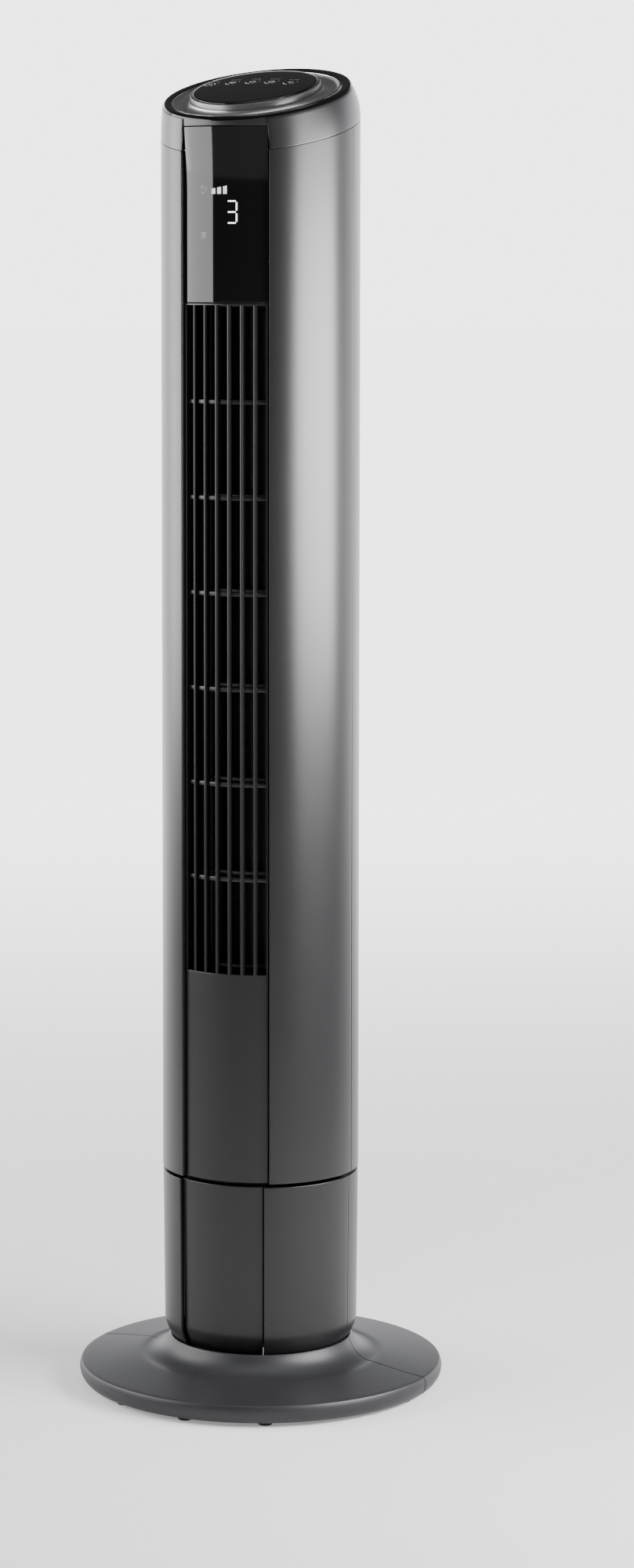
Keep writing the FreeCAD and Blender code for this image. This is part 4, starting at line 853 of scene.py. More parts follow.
def base_half(name, turn):
    """One half of the base: skin, radial ribs and the pads over its feet."""
    reach = 180.0
    gap = 0.16

    def place(p, s):
        return at(-90.0 + gap + seam_shift(p[0]) + s, p[0], p[1])

    stations = [(reach - 2 * gap) * k / 100 for k in range(101)]
    parts = [swept(base_outline(), stations, place, 0.5, 0.28)]
    for k in range(9):
        rib = [(67.0, 6.0), (123.0, 6.0), (123.0, 13.6), (86.0, 17.6), (71.0, 20.4), (67.0, 24.0)]
        around = (k - 4) * 19.0
        parts.append(loft([[at(around + math.degrees(side / p[0]), p[0], p[1]) for p in rib] for side in (-1.0, 1.0)]))
    for a in FEET_AROUND:
        centre = at(a, FOOT_RING_R, 0) / MM
        rings = [circle(7.0, 32, centre.x, centre.y), circle(6.6, 32, centre.x, centre.y)]
        parts.append(loft([[Vector((*p, z)) * MM for p in ring] for ring, z in zip(rings, (FOOT_H, 14.4))]))
    return solid(name, parts, turn)


class FAN_OT_base(bpy.types.Operator):
    """Builds both halves of the round base"""
    bl_idname = "fan.base"
    bl_label = "Base halves"

    def execute(self, context):
        paint = moulded("base_plastic", context.scene.fan_finishes.base, 0.45, 1300.0, specular=0.4)
        for name, turn in (("base_front_half", 0.0), ("base_rear_half", 180.0)):
            settle(base_half(name + "_skin", turn), "stand", paint, "base_plastic", name)
        return {"FINISHED"}


def foot_pattern():
    """A moulded foot: slightly conical, with a rolled edge and a shallow recess underneath."""
    profile = [
        (0.6, 0.5), (2.6, 0.5), (3.1, 0.0), (4.5, 0.0), (5.0, 0.35),
        (5.5, FOOT_H - 0.1), (5.4, FOOT_H), (0.6, FOOT_H),
    ]
    return solid("foot_pattern", [dished(profile, lambda p, a: at(a, p[0], p[1]), 32)])


def screw_pattern(head_r, head_h, shank_r, length):
    """A pan-head screw that points along +Z, its head's underside at the origin, with a cross recess."""
    profile = (
        [(0.3, -head_h)] + [(head_r * 0.75, -head_h), (head_r * 0.94, -head_h * 0.72), (head_r, -head_h * 0.3)]
        + [(head_r, -0.05), (head_r - 0.05, 0.0), (shank_r, 0.0)]
        + [(shank_r, length - 0.6), (shank_r - 0.5, length), (0.3, length)]
    )
    screw = solid("screw_pattern", [dished(profile, lambda p, a: at(a, p[0], p[1]), 32)])
    long, wide, deep = head_r * 0.62, 0.45, head_h * 0.5
    bars = [
        loft([
            [Vector((x, y, z)) * MM for x, y in ((-a, -b), (a, -b), (a, b), (-a, b))]
            for z in (-head_h - 1, deep - head_h)
        ])
        for a, b in ((long, wide), (wide, long))
    ]
    cut(screw, bars[:1])
    cut(screw, bars[1:])
    return screw


def scattered(name, pattern, places, aims, material, turn=0.0):
    made = grown(name, copies_tree(), {"Pattern": pattern, "Material": material}, places, aims, turn)
    bpy.data.objects.remove(pattern)
    smoothed(made.data)
    return made


class FAN_OT_feet(bpy.types.Operator):
    """Sets the rubber feet under the base"""
    bl_idname = "fan.feet"
    bl_label = "Rubber feet"

    def execute(self, context):
        places = [at(a + half, FOOT_RING_R, 0) for half in (0, 180) for a in FEET_AROUND]
        material = rubber("foot_rubber", (0.012, 0.012, 0.012, 1.0))
        feet = scattered("rubber_feet", foot_pattern(), places, [(0, 0, 0)] * len(places), material)
        settle(feet, "stand", material, "foot_rubber", "base_feet")
        return {"FINISHED"}


class FAN_OT_screws(bpy.types.Operator):
    """Sets the screws of the base and of both casings"""
    bl_idname = "fan.screws"
    bl_label = "Screws"

    def execute(self, context):
        material = metal("dark_zinc", (0.16, 0.16, 0.165, 1.0), 0.38)
        places = [at(a, BASE_SCREW_R, SHELF_Z) for a in (-135, -45, 45, 135)]
        under = scattered("screws_under_base", screw_pattern(5.0, 2.6, 1.8, 14.0), places, [(0, 0, 0.4)] * 4, material)
        settle(under, "stand", material, "screw_steel", "base_screws")
        rows = (
            ("stand", STAND_SCREWS, "stand_shell_screws", 0.0),
            ("head", HEAD_SCREWS, "head_shell_screws", HEAD_TURN),
        )
        for body, heights, node, turn in rows:
            places = [Vector((side * BOSS_X, SCREW_SEAT_Y, z)) * MM for z in heights for side in (-1, 1)]
            aims = [(math.radians(90), 0, 0)] * len(places)
            row = scattered(node + "_set", screw_pattern(3.2, 2.2, 1.35, 22.0), places, aims, material, turn)
            settle(row, body, material, "screw_steel", node)
        return {"FINISHED"}


# ---- stand --------------------------------------------------------------------------------------------
STAND_R0, STAND_R1, STAND_BEND, STAND_NECK = 68.8, 69.7, 50.0, 62.6


def stand_levels():
    """Heights and radii of the stand's outer surface, from its neck to its top."""
    bend = bow((STAND_NECK, 33.0), (STAND_R0 - 1.9, 40.0), (STAND_R0, STAND_BEND), 10)
    wider, higher = STAND_R1 - STAND_R0, STAND_TOP - STAND_BEND
    steps = [(STAND_R0 + wider * k / 4, STAND_BEND + higher * k / 4) for k in range(1, 5)]
    return [(STAND_NECK, STAND_FOOT)] + bend + steps


def stand_radius(z):
    levels = stand_levels()
    for (r0, z0), (r1, z1) in zip(levels, levels[1:]):
        if z <= z1:
            return r0 + (r1 - r0) * max(0.0, (z - z0) / (z1 - z0))
    return levels[-1][0]


def stand_plate(a0, a1, depth, thick):
    """A stretch of the stand's wall, that far inside its outer surface."""
    r = COLUMN_R - depth
    band = softened(arc_around(r, a0, a1) + arc_around(r - thick, a1, a0))
    return swept(band, [z for _, z in stand_levels()], lambda p, z: wrapped(p, p[1] - COLUMN_R + stand_radius(z), z))


class FAN_OT_stand(bpy.types.Operator):
    """Builds the stand's casing and its front panel"""
    bl_idname = "fan.stand"
    bl_label = "Stand casing"

    def execute(self, context):
        colours = context.scene.fan_finishes
        paint = moulded("shell_plastic_stand", colours.shell, 0.34, specular=0.4)
        parts = [stand_plate(STRIP_HALF, 90.0, 0.0, WALL), stand_plate(-90.0, -STRIP_HALF, 0.0, WALL)]
        for sign in (-1, 1):
            a0, a1 = sorted((sign * STRIP_HALF, sign * (STRIP_HALF + 1.4)))
            parts.append(plate_round(a0, a1, 61.6, STAND_R0 - WALL - 0.1, 54.0, STAND_TOP))
        parts.append(plate_round(-STRIP_HALF + GAP, STRIP_HALF - GAP, 61.6, 63.2, 54.0, STAND_TOP))
        settle(solid("stand_side_casing", parts), "stand", paint, "shell_plastic", "stand_front_shell")
        rear = solid("stand_rear_casing", [stand_plate(90.15, 269.85, 0.0, WALL)])
        holes = [bolt_hole(side * BOSS_X, z, 3.5, SCREW_SEAT_Y, 60.0) for z in STAND_SCREWS for side in (-1, 1)]
        holes.append(bolt_hole(0.0, GLAND_Z, 6.0, 50.0, 80.0))
        settle(round_walled(cut(rear, holes)), "stand", paint, "shell_plastic", "stand_rear_shell")
        front = solid("stand_strip", [stand_plate(-STRIP_A, STRIP_A, 3.0, 2.2)])
        strip_plastic = moulded("panel_plastic_stand", colours.strip, 0.34, specular=0.4)
        settle(front, "stand", strip_plastic, "panel_plastic", "stand_front_panel")
        return {"FINISHED"}


# ---- head casing --------------------------------------------------------------------------------------
def seam_height(y, gap=0.35):
    """Height of the cut between the head's shells and its cap, at a depth."""
    return SEAM_Z - gap + math.tan(math.radians(SEAM_TILT)) * y


def up_to_seam(p, r, s, low):
    """Places a section's point on a column that runs from low to the slanted seam. s is a height below it."""
    point = wrapped(p, r, 0.0)
    top = seam_height(point.y / MM)
    share = (s - low) / (SEAM_Z - low)
    point.z = (low + share * (top - low)) * MM
    return point


def wall_to_seam(outline, low, steps=30):
    levels = [low + (SEAM_Z - low) * k / steps for k in range(steps + 1)]
    return swept(softened(outline), levels, lambda p, s: up_to_seam(p, p[1], s, low), 0.2, 0.2)


def side_outline(sign):
    """A side wall and the flange that stands beside the front strip."""
    a, reach = STRIP_HALF, 1.5
    points = (
        arc_around(COLUMN_R, a, 89.8) + arc_around(INNER_R, 89.8, a + reach)
        + arc_around(WEB_IN, a + reach, a, 2.0)
    )
    return [(sign * u, r) for u, r in points]


class FAN_OT_head(bpy.types.Operator):
    """Builds the head's side, rear and carrying-grip mouldings"""
    bl_idname = "fan.head"
    bl_label = "Head casing"

    def execute(self, context):
        colours = context.scene.fan_finishes
        paint = moulded("shell_plastic_head", colours.shell, 0.3, specular=0.45)
        web = STRIP_HALF - GAP
        parts = [wall_to_seam(side_outline(1), HEAD_Z), wall_to_seam(side_outline(-1), HEAD_Z)]
        parts.append(plate_round(-web, web, WEB_IN, WEB_OUT, HEAD_Z, OUTLET_Z0 - 6))
        behind_window = arc_around(WEB_OUT, -web, web) + arc_around(WEB_IN, web, -web)
        parts.append(wall_to_seam(behind_window, OUTLET_Z1 + 6, 4))
        sides = solid("head_side_casing", parts, HEAD_TURN)
        settle(sides, "head", paint, "shell_plastic", "head_front_shell")
        rear_band = arc_around(COLUMN_R, 90.2, 269.8) + arc_around(INNER_R, 269.8, 90.2)
        rear = solid("head_rear_casing", [wall_to_seam(rear_band, HEAD_Z)])
        settle(round_walled(self.opened(rear)), "head", paint, "shell_plastic", "head_rear_shell")
        cup = solid("carrying_grip", [self.grip()], HEAD_TURN)
        settle(cup, "head", moulded("panel_plastic_grip", colours.strip, 0.5), "panel_plastic", "handle_cup")
        return {"FINISHED"}

    def opened(self, rear):
        """Cuts the intake, the grip, the cooling slots and the screw holes."""
        grip = rounded_box(-GRIP_X, GRIP_X, GRIP_Z0, GRIP_Z1, 8.0)
        cutters = [
            slot_cutter(180 - INTAKE_HALF, 180 + INTAKE_HALF, INTAKE_Z0, INTAKE_Z1, 5.0),
            loft([[Vector((x, y, z)) * MM for x, z in grip] for y in (30.0, 90.0)]),
        ]
        for z in VENT_HEIGHTS:
            for a0, a1 in ((VENT_FROM, VENT_TO), (360 - VENT_TO, 360 - VENT_FROM)):
                cutters.append(slot_cutter(a0, a1, z - VENT_H / 2, z + VENT_H / 2, VENT_H * 0.49))
        cutters += [bolt_hole(side * BOSS_X, z, 3.5, SCREW_SEAT_Y, 60.0) for z in HEAD_SCREWS for side in (-1, 1)]
        cut(rear, cutters)
        rear.data.transform(Matrix.Rotation(math.radians(HEAD_TURN), 4, "Z"))
        return rear

    def grip(self):
        """A round-cornered box let into the rear, open to the outside."""
        def at_depth(loop, y):
            return [Vector((x, y, z)) * MM for x, z in loop]

        def at_mouth(loop, short):
            return [Vector((x, math.sqrt(COLUMN_R**2 - x * x) - short, z)) * MM for x, z in loop]

        x, z0, z1 = GRIP_X - GAP, GRIP_Z0 + GAP, GRIP_Z1 - GAP
        outer = rounded_box(-x, x, z0, z1, 8.0)
        lip = rounded_box(-x + 0.6, x - 0.6, z0 + 0.6, z1 - 0.6, 7.4)
        inner = rounded_box(-x + 2, x - 2, z0 + 2, z1 - 2, 6.0)
        floor = rounded_box(-x + 4, x - 4, z0 + 4, z1 - 4, 4.0)
        return loft([
            at_depth(outer, GRIP_Y), at_mouth(outer, 0.8), at_mouth(lip, 0.2), at_mouth(inner, 0.9),
            at_depth(inner, GRIP_Y + 4.5), at_depth(floor, GRIP_Y + 2.2),
        ])


# ---- outlet and intake grilles ------------------------------------------------------------------------
def window_frame(a0, a1, z0, z1, side, end, r_in, r_out, corner=2.0):
    """A curved frame: side is its bars' width in degrees, end its bars' height."""
    u0, u1, du = (math.radians(a) * COLUMN_R for a in (a0, a1, side))
    outer = rounded_box(u0, u1, z0, z1, corner)
    inner = resampled(rounded_box(u0 + du, u1 - du, z0 + end, z1 - end, corner * 0.6), len(outer))
    loops = [(outer, r_in), (outer, r_out), (inner, r_out), (inner, r_in)]
    return loft([[wrapped(p, r, p[1]) for p in loop] for loop, r in loops], closed=True)


def resampled(loop, count):
    """The closed loop with another number of evenly spread points."""
    lengths = [0.0]
    for k in range(len(loop)):
        lengths.append(lengths[-1] + math.dist(loop[k], loop[(k + 1) % len(loop)]))
    points = []
    k = 0
    for j in range(count):
        goal = lengths[-1] * j / count
        while lengths[k + 1] < goal:
            k += 1
        t = (goal - lengths[k]) / (lengths[k + 1] - lengths[k])
        p, q = loop[k], loop[(k + 1) % len(loop)]
        points.append((p[0] + (q[0] - p[0]) * t, p[1] + (q[1] - p[1]) * t))
    return points


class FAN_OT_outlet(bpy.types.Operator):
    """Builds the front strip below the window: blank panel, rails, slats and cross ribs"""
    bl_idname = "fan.outlet"
    bl_label = "Outlet grille"

    def execute(self, context):
        sizes, colours = context.scene.fan_sizes, context.scene.fan_finishes
        material = moulded("panel_plastic_outlet", colours.strip, 0.34, specular=0.4)
        bottom, top = HEAD_Z + 0.4, OUTLET_Z1 + 1.4
        rail = 1.1
        parts = [plate_round(-STRIP_A, STRIP_A, STRIP_IN, STRIP_R, bottom, OUTLET_Z0)]
        parts.append(plate_round(-STRIP_A, STRIP_A, STRIP_IN, STRIP_R, OUTLET_Z1, top, 0.3))
        for sign in (-1, 1):
            a0, a1 = sorted((sign * STRIP_A, sign * (STRIP_A - rail)))
            parts.append(plate_round(a0, a1, STRIP_IN, STRIP_R - 0.05, OUTLET_Z0 - 0.3, OUTLET_Z1 + 0.3, 0.25))
        strip = solid("outlet_strip", parts, HEAD_TURN)
        slats = grown("outlet_slats", slats_tree(), {
            "Count": sizes.slats, "Pitch": sizes.slat_pitch, "Radius": STRIP_R * MM, "Width": sizes.slat_width,
            "Depth": sizes.slat_depth, "Bottom": (OUTLET_Z0 - 0.5) * MM, "Top": (OUTLET_Z1 + 0.3) * MM,
            "Corner": 0.6 * MM, "Material": material,
        }, turn=HEAD_TURN)
        pitch = (OUTLET_Z1 - OUTLET_Z0) / sizes.bays
        half = math.radians(STRIP_A)
        ribs = grown("outlet_ribs", hoops_tree(), {
            "Count": sizes.bays - 1, "Pitch": pitch * MM, "Bottom": (OUTLET_Z0 + pitch) * MM,
            "Radius": (STRIP_R - 4.2) * MM, "Start": -math.pi / 2 - half, "Sweep": 2 * half, "Steps": 40,
            "Height": sizes.rib_height, "Depth": 0.0034, "Corner": 0.6 * MM, "Material": material,
        }, turn=HEAD_TURN)
        settle(joined(strip, slats, ribs), "head", material, "panel_plastic", "outlet_grille")
        return {"FINISHED"}


class FAN_OT_intake(bpy.types.Operator):
    """Builds the slotted intake grille at the rear"""
    bl_idname = "fan.intake"
    bl_label = "Intake grille"

    def execute(self, context):
        sizes, colours = context.scene.fan_sizes, context.scene.fan_finishes
        material = moulded("panel_plastic_intake", colours.strip, 0.45)
        a0, a1 = 180 - INTAKE_HALF + 0.25, 180 + INTAKE_HALF - 0.25
        z0, z1 = INTAKE_Z0 + 0.25, INTAKE_Z1 - 0.25
        border = window_frame(a0, a1, z0, z1, 3.5, 7.0, INNER_R + 0.1, COLUMN_R - 0.02, 5.0)
        border = edged(solid("intake_border", [border], HEAD_TURN), 0.4)
        rows = int((z1 - z0 - 14.0) / (sizes.louvre_pitch / MM))
        half = math.radians(INTAKE_HALF - 3.0)
        start = (z0 + z1) / 2 * MM - (rows - 1) * sizes.louvre_pitch / 2
        bars = grown("intake_bars", hoops_tree(), {
            "Count": rows, "Pitch": sizes.louvre_pitch, "Bottom": start, "Radius": (COLUMN_R - 1.35) * MM,
            "Start": math.pi / 2 - half, "Sweep": 2 * half, "Steps": 48, "Height": sizes.louvre_height,
            "Depth": 0.0023, "Corner": 0.7 * MM, "Material": material,
        }, turn=HEAD_TURN)
        uprights = []
        spread = 2 * (INTAKE_HALF - 3.5) / (sizes.uprights + 1)
        for k in range(sizes.uprights):
            a = 180 + (k - (sizes.uprights - 1) / 2) * spread
            uprights.append(plate_round(a - 1.0, a + 1.0, INNER_R + 0.2, COLUMN_R - 0.25, z0 + 6, z1 - 6, 0.3))
        posts = solid("intake_uprights", uprights, HEAD_TURN)
        settle(joined(border, bars, posts), "head", material, "panel_plastic", "intake_grille")
        return {"FINISHED"}


# ---- window and display -------------------------------------------------------------------------------
def strip_radius(z):
    """The strip's outer surface, which curves out level with the cap near its top."""
    share = min(1.0, max(0.0, (z - FLARE_Z0) / (FLARE_Z1 - FLARE_Z0)))
    return STRIP_R + (COLUMN_R - 0.1 - STRIP_R) * share * share


def strip_plate(z0, top):
    """The strip's wall from z0 up to a height that may depend on depth."""
    band = softened(arc_around(STRIP_R, -STRIP_A, STRIP_A, 1.0) + arc_around(STRIP_IN, STRIP_A, -STRIP_A, 1.0), 0.35)

    def place(p, s):
        y = -p[1] * math.cos(p[0] / COLUMN_R)
        z = z0 + s * (top(y) - z0)
        return wrapped(p, p[1] - STRIP_R + strip_radius(z), z)

    knee = (FLARE_Z0 - z0) / (top(-STRIP_R) - z0)
    flare = [share for share, _ in even((knee, 0), (1.0, 0), 12)][:-1] if 0 < knee < 1 else []
    shares = [0.0] + flare + [1.0]
    step = 0.3 / (top(-STRIP_R) - z0)
    return swept(band, shares, place, 0.3, step)


def stroke(path, width, lay, closed=False):
    """A thin printed or lit line along a path of flat points. lay places (x, y, height)."""
    count = len(path)
    rings = []
    for k, here in enumerate(path):
        back = path[k - 1] if (k or closed) else here
        on = path[(k + 1) % count] if (k < count - 1 or closed) else here
        d = (Vector(on) - Vector(back)).normalized()
        nx, ny = -d.y * width / 2, d.x * width / 2
        x, y = here
        one, other = (x - nx, y - ny), (x + nx, y + ny)
        rings.append([lay(*one, 0.0), lay(*other, 0.0), lay(*other, 1.0), lay(*one, 1.0)])
    return loft(rings, closed)


def flat_arc(x, y, r, start, end, count=14):
    """Points of an arc in a plane, angles in degrees from its x axis."""
    angles = [math.radians(start + (end - start) * k / count) for k in range(count + 1)]
    return [(x + r * math.cos(a), y + r * math.sin(a)) for a in angles]


def on_window(x, z, level):
    """Just in front of the window: x is the length round the strip."""
    return at(math.degrees(x / STRIP_R), STRIP_R + 0.01 + 0.05 * level, z)


DIGIT_X, DIGIT_Z, DIGIT_W, DIGIT_H = 7.7, 834.2, 6.4, 16.0
SEGMENT = 1.05
BARS_X, BARS_Z = -6.4, 846.6
ICON_X, FAN_SIGN_Z = -14.7, 849.7


def digit_three():
    """Seven-segment three: three level bars and the two bars at the right, with gaps between them."""
    x0, x1 = DIGIT_X - DIGIT_W / 2, DIGIT_X + DIGIT_W / 2
    gap = SEGMENT * 0.75
    parts = []
    for level in (-1, 0, 1):
        z = DIGIT_Z + level * (DIGIT_H - SEGMENT) / 2
        parts.append(stroke([(x0, z), (x0 + 0.35, z), (x1 - gap - 0.35, z), (x1 - gap, z)], SEGMENT, on_window))
    for side in (-1, 1):
        z0 = DIGIT_Z + side * gap * 1.3
        z1 = DIGIT_Z + side * ((DIGIT_H - SEGMENT) / 2 - gap * 1.0)
        parts.append(stroke([(x1 - gap * 0.2, z0), (x1 - gap * 0.2, z1)], SEGMENT, on_window))
    return parts


def level_bars():
    """Three bars that rise to the right."""
    parts = []
    for k, tall in enumerate((4.1, 4.9, 5.6)):
        x = BARS_X + k * 4.35
        outline = [(x - 1.45, BARS_Z), (x + 1.45, BARS_Z), (x + 1.45, BARS_Z + tall), (x - 1.45, BARS_Z + tall - 0.5)]
        parts.append(loft([[on_window(*p, level) for p in outline] for level in (0.0, 1.0)]))
    return parts


def dim_icons():
    """A small rotor sign and three short lines, barely lit."""
    hub, blade = 1.3, 1.2
    parts = []
    for k in range(3):
        x, z = ICON_X + hub * math.cos(2.1 * k), FAN_SIGN_Z + hub * math.sin(2.1 * k)
        bend = flat_arc(x, z, blade, 120 * k - 60, 120 * k + 120, 8)
        parts.append(stroke(bend, 0.55, on_window))
    for k in range(3):
        z = 816.9 + 1.5 * k
        parts.append(stroke([(ICON_X - 2.1, z), (ICON_X + 2.1, z)], 0.7, on_window))
    return parts


class FAN_OT_window(bpy.types.Operator):
    """Builds the smoked window, the strip's end piece and the lit symbols"""
    bl_idname = "fan.window"
    bl_label = "Display window"

    def execute(self, context):
        colours = context.scene.fan_finishes
        window = solid("smoked_window", [strip_plate(WINDOW_Z0, lambda y: WINDOW_Z1)], HEAD_TURN)
        settle(window, "head", lacquered("gloss_black_window", colours.gloss), "gloss_black", "display_window")
        end = solid("strip_end", [strip_plate(WINDOW_Z1 + 0.4, lambda y: FOOT_Z - 0.2 + SLOPE * y)], HEAD_TURN)
        settle(end, "head", moulded("panel_plastic_end", colours.strip, 0.34), "panel_plastic", "strip_cap")
        bright = solid("lit_digit", digit_three(), HEAD_TURN)
        settle(bright, "head", lit("display_light", colours.light, 3.2), "white_plastic")
        bars = solid("lit_bars", level_bars(), HEAD_TURN)
        settle(bars, "head", lit("display_light_soft", colours.light, 1.3), "white_plastic")
        dim = solid("dim_symbols", dim_icons(), HEAD_TURN)
        settle(dim, "head", lit("display_light_dim", colours.light, 0.16), "white_plastic")
        return {"FINISHED"}


# ---- sloping top --------------------------------------------------------------------------------------
def cap_point(around, s, deep):
    """A point of the cap's wall: s runs from the seam, 0, to the bezel's foot, 1; deep is from the outside in."""
    pull = s * s
    a = COLUMN_R - (COLUMN_R - BEZEL_FOOT_R) * pull - deep * WALL
    b = COLUMN_R - (COLUMN_R - BEZEL_FOOT_R * TILT_COS) * pull - deep * WALL
    t = math.radians(around)
    y = BEZEL_Y * pull - b * math.cos(t)
    slope = math.tan(math.radians(SEAM_TILT + (TOP_TILT - SEAM_TILT) * s))
    z = SEAM_Z + (FOOT_Z - SEAM_Z) * s - 2.6 * deep * pull + slope * y
    return Vector((a * math.sin(t), y, z)) * MM


def cap_place(p, around):
    """Places (u, deep): u up to 1 climbs the wall, and from 1 to 2 crosses the top to the dish's hole."""
    u, deep = p
    if u <= 1.0:
        return cap_point(around, u, deep)
    t = math.radians(around)
    edge = cap_point(around, 1.0, 0.0)
    hole_r = DISH_R + 0.2
    hole = slope_point(hole_r * math.sin(t), -hole_r * math.cos(t), -2.49)
    point = edge.lerp(hole, u - 1.0)
    return point - Vector((0, -TILT_SIN, TILT_COS)) * (deep * 2.5 * MM)


def bezel_place(p, around):
    """Places (u, rise): u up to 1 runs from the eccentric hole to the crest, and on to 2 at the foot."""
    t = math.radians(around)
    dx, dy = math.sin(t), -math.cos(t)
    shift = (DISH_Y - BEZEL_Y) / TILT_COS
    hole_r = DISH_R + 0.9
    reach = dy * shift
    inner = reach + math.sqrt(reach * reach - shift * shift + hole_r * hole_r)
    if p[0] <= 1.0:
        r = inner + (BEZEL_R - inner) * p[0]
    else:
        r = BEZEL_R + (BEZEL_FOOT_R - BEZEL_R) * (p[0] - 1.0)
    return slope_point(r * dx, r * dy, p[1], BEZEL_Y)


def ring_place(p, around):
    t = math.radians(around)
    return slope_point(p[0] * math.sin(t), -p[0] * math.cos(t), p[1])


def panel_rise(x, y):
    """Height of the gently domed touch panel above the sloping plane."""
    return 5.2 - 0.55 * (x * x + y * y) / (PANEL_R - 2.6) ** 2


class FAN_OT_top(bpy.types.Operator):
    """Builds the cap, the bezel, the trim ring, the dish and the raised touch panel"""
    bl_idname = "fan.top"
    bl_label = "Sloping top"

    def execute(self, context):
        colours = context.scene.fan_finishes
        centre = tuple(Matrix.Rotation(math.radians(HEAD_TURN), 3, "Z") @ slope_point(0, 0, 0))
        tilt = math.radians(TOP_TILT)
        wall = [(0.0, 0.0), (0.02, 0.0)] + [(k / 10, 0.0) for k in range(1, 11)]
        wall += [(1.04, 0.0), (2.0, 0.0), (2.0, 1.0), (1.3, 1.0)]
        wall += [(k / 5, 1.0) for k in range(5, -1, -1)]
        around = [STRIP_HALF + (360 - 2 * STRIP_HALF) * k / 140 for k in range(141)]
        cap = loft([[cap_place(p, a) for p in wall] for a in around])
        cap = edged(solid("head_cap", [cap], HEAD_TURN), 0.15, 60.0)
        settle(cap, "head", moulded("shell_plastic_cap", colours.shell, 0.3), "shell_plastic", "top_cap")

        crest = [(1 + k / 6, -2.35 * (k / 6) ** 2) for k in range(1, 7)]
        bezel = [(0.0, -2.3), (0.0, -0.75), (0.06, -0.45), (0.5, -0.12), (0.85, 0.0), (1.0, 0.0)] + crest
        gloss = lacquered("gloss_black_bezel", colours.gloss, 0.05)
        settle(solid("bezel", [turned(bezel, bezel_place)], HEAD_TURN), "head", gloss, "gloss_black", "bezel_ring")

        trim = softened([
            (DISH_R, -2.3), (DISH_R + 0.8, -2.3), (DISH_R + 0.8, -0.45),
            (DISH_R + 0.2, -0.3), (DISH_R, -0.8),
        ], 0.15)
        bright = spun("trim_chrome", (0.62, 0.63, 0.64, 1.0), 0.16, 1.0, centre, tilt, 0.1)
        settle(solid("bright_trim", [turned(trim, ring_place)], HEAD_TURN), "head", bright, "trim_chrome", "trim_ring")

        bowl = bow((DISH_R - 0.1, -1.2), (53.0, -4.6), (PANEL_FOOT_R, -0.4), 16)
        foot = PANEL_FOOT_R - 3.0
        dish = bowl + [(foot, -0.4), (foot, -2.6), (49.0, -6.2), (DISH_R - 0.1, -6.2)]
        satin = spun("dish_silver_satin", colours.dish, 0.3, 0.9, centre, tilt)
        settle(solid("satin_dish", [turned(dish, ring_place)], HEAD_TURN), "head", satin, "dish_silver", "control_dish")

        rim = softened([
            (PANEL_FOOT_R - 0.2, -0.3), (PANEL_R + 0.3, 3.6), (PANEL_R - 1.2, 3.9), (PANEL_R - 1.2, 1.6),
            (PANEL_R - 4.0, 1.6), (PANEL_R - 4.0, -0.3),
        ], 0.35)
        side = spun("dish_silver_rim", colours.rim, 0.34, 0.7, centre, tilt)
        settle(solid("panel_side_wall", [turned(rim, ring_place)], HEAD_TURN), "head", side, "dish_silver", "panel_rim")

        r = PANEL_R - 1.4
        dome = [(x, panel_rise(x, 0.0)) for x in (0.8, 8.0, 16.0, 24.0, 32.0, 38.0, r - 1.2)]
        plate = dome + [(r - 0.5, 4.5), (r - 0.1, 4.2), (r, 3.9), (r, 1.8), (r - 0.2, 1.7), (0.8, 1.7)]
        gloss = lacquered("gloss_black_panel", colours.gloss, 0.045)
        touch_plate = solid("touch_plate", [dished(plate, ring_place)], HEAD_TURN)
        settle(touch_plate, "head", gloss, "gloss_black", "touch_panel")
        return {"FINISHED"}


def on_panel(x, y, level):
    """Just above the touch panel."""
    return slope_point(x, y, panel_rise(x, y) + 0.01 + 0.05 * level)


def key_centre(k, keys, pitch):
    """The keys lie on a shallow arc, left of the middle."""
    x = (k - (keys - 1) / 2) * pitch
    return x - 6.5, 11.0 - 0.0034 * x * x


def key_sign(kind, x, y):
    """One generic sign: rotor, wave, power, clock or swing."""
    parts = []
    if kind == 0:
        for k in range(3):
            a = 120 * k + 20
            cx, cy = x + 1.5 * math.cos(math.radians(a)), y + 1.5 * math.sin(math.radians(a))
            parts.append(stroke(flat_arc(cx, cy, 1.2, a - 90, a + 120, 8), 0.55, on_panel))
    elif kind == 1:
        for k in (-1, 0, 1):
            wave = [(x - 2.4 + 0.6 * j, y + 1.3 * k + 0.45 * math.sin(j * 1.2)) for j in range(9)]
            parts.append(stroke(wave, 0.5, on_panel))
    elif kind == 2:
        parts.append(stroke(flat_arc(x, y, 2.1, 120, 420, 18), 0.6, on_panel))
        parts.append(stroke([(x, y + 0.4), (x, y + 2.8)], 0.6, on_panel))
    elif kind == 3:
        parts.append(stroke(flat_arc(x, y, 2.2, 0, 345, 20), 0.5, on_panel))
        parts.append(stroke([(x, y + 1.4), (x, y), (x + 1.1, y - 0.5)], 0.5, on_panel))
    else:
        parts.append(stroke(flat_arc(x, y - 1.2, 2.6, 35, 145, 10), 0.55, on_panel))
        parts.append(stroke(flat_arc(x, y - 1.2, 1.2, 35, 145, 8), 0.5, on_panel))
        parts.append(stroke([(x, y - 2.4), (x, y - 1.2)], 0.55, on_panel))
    return parts


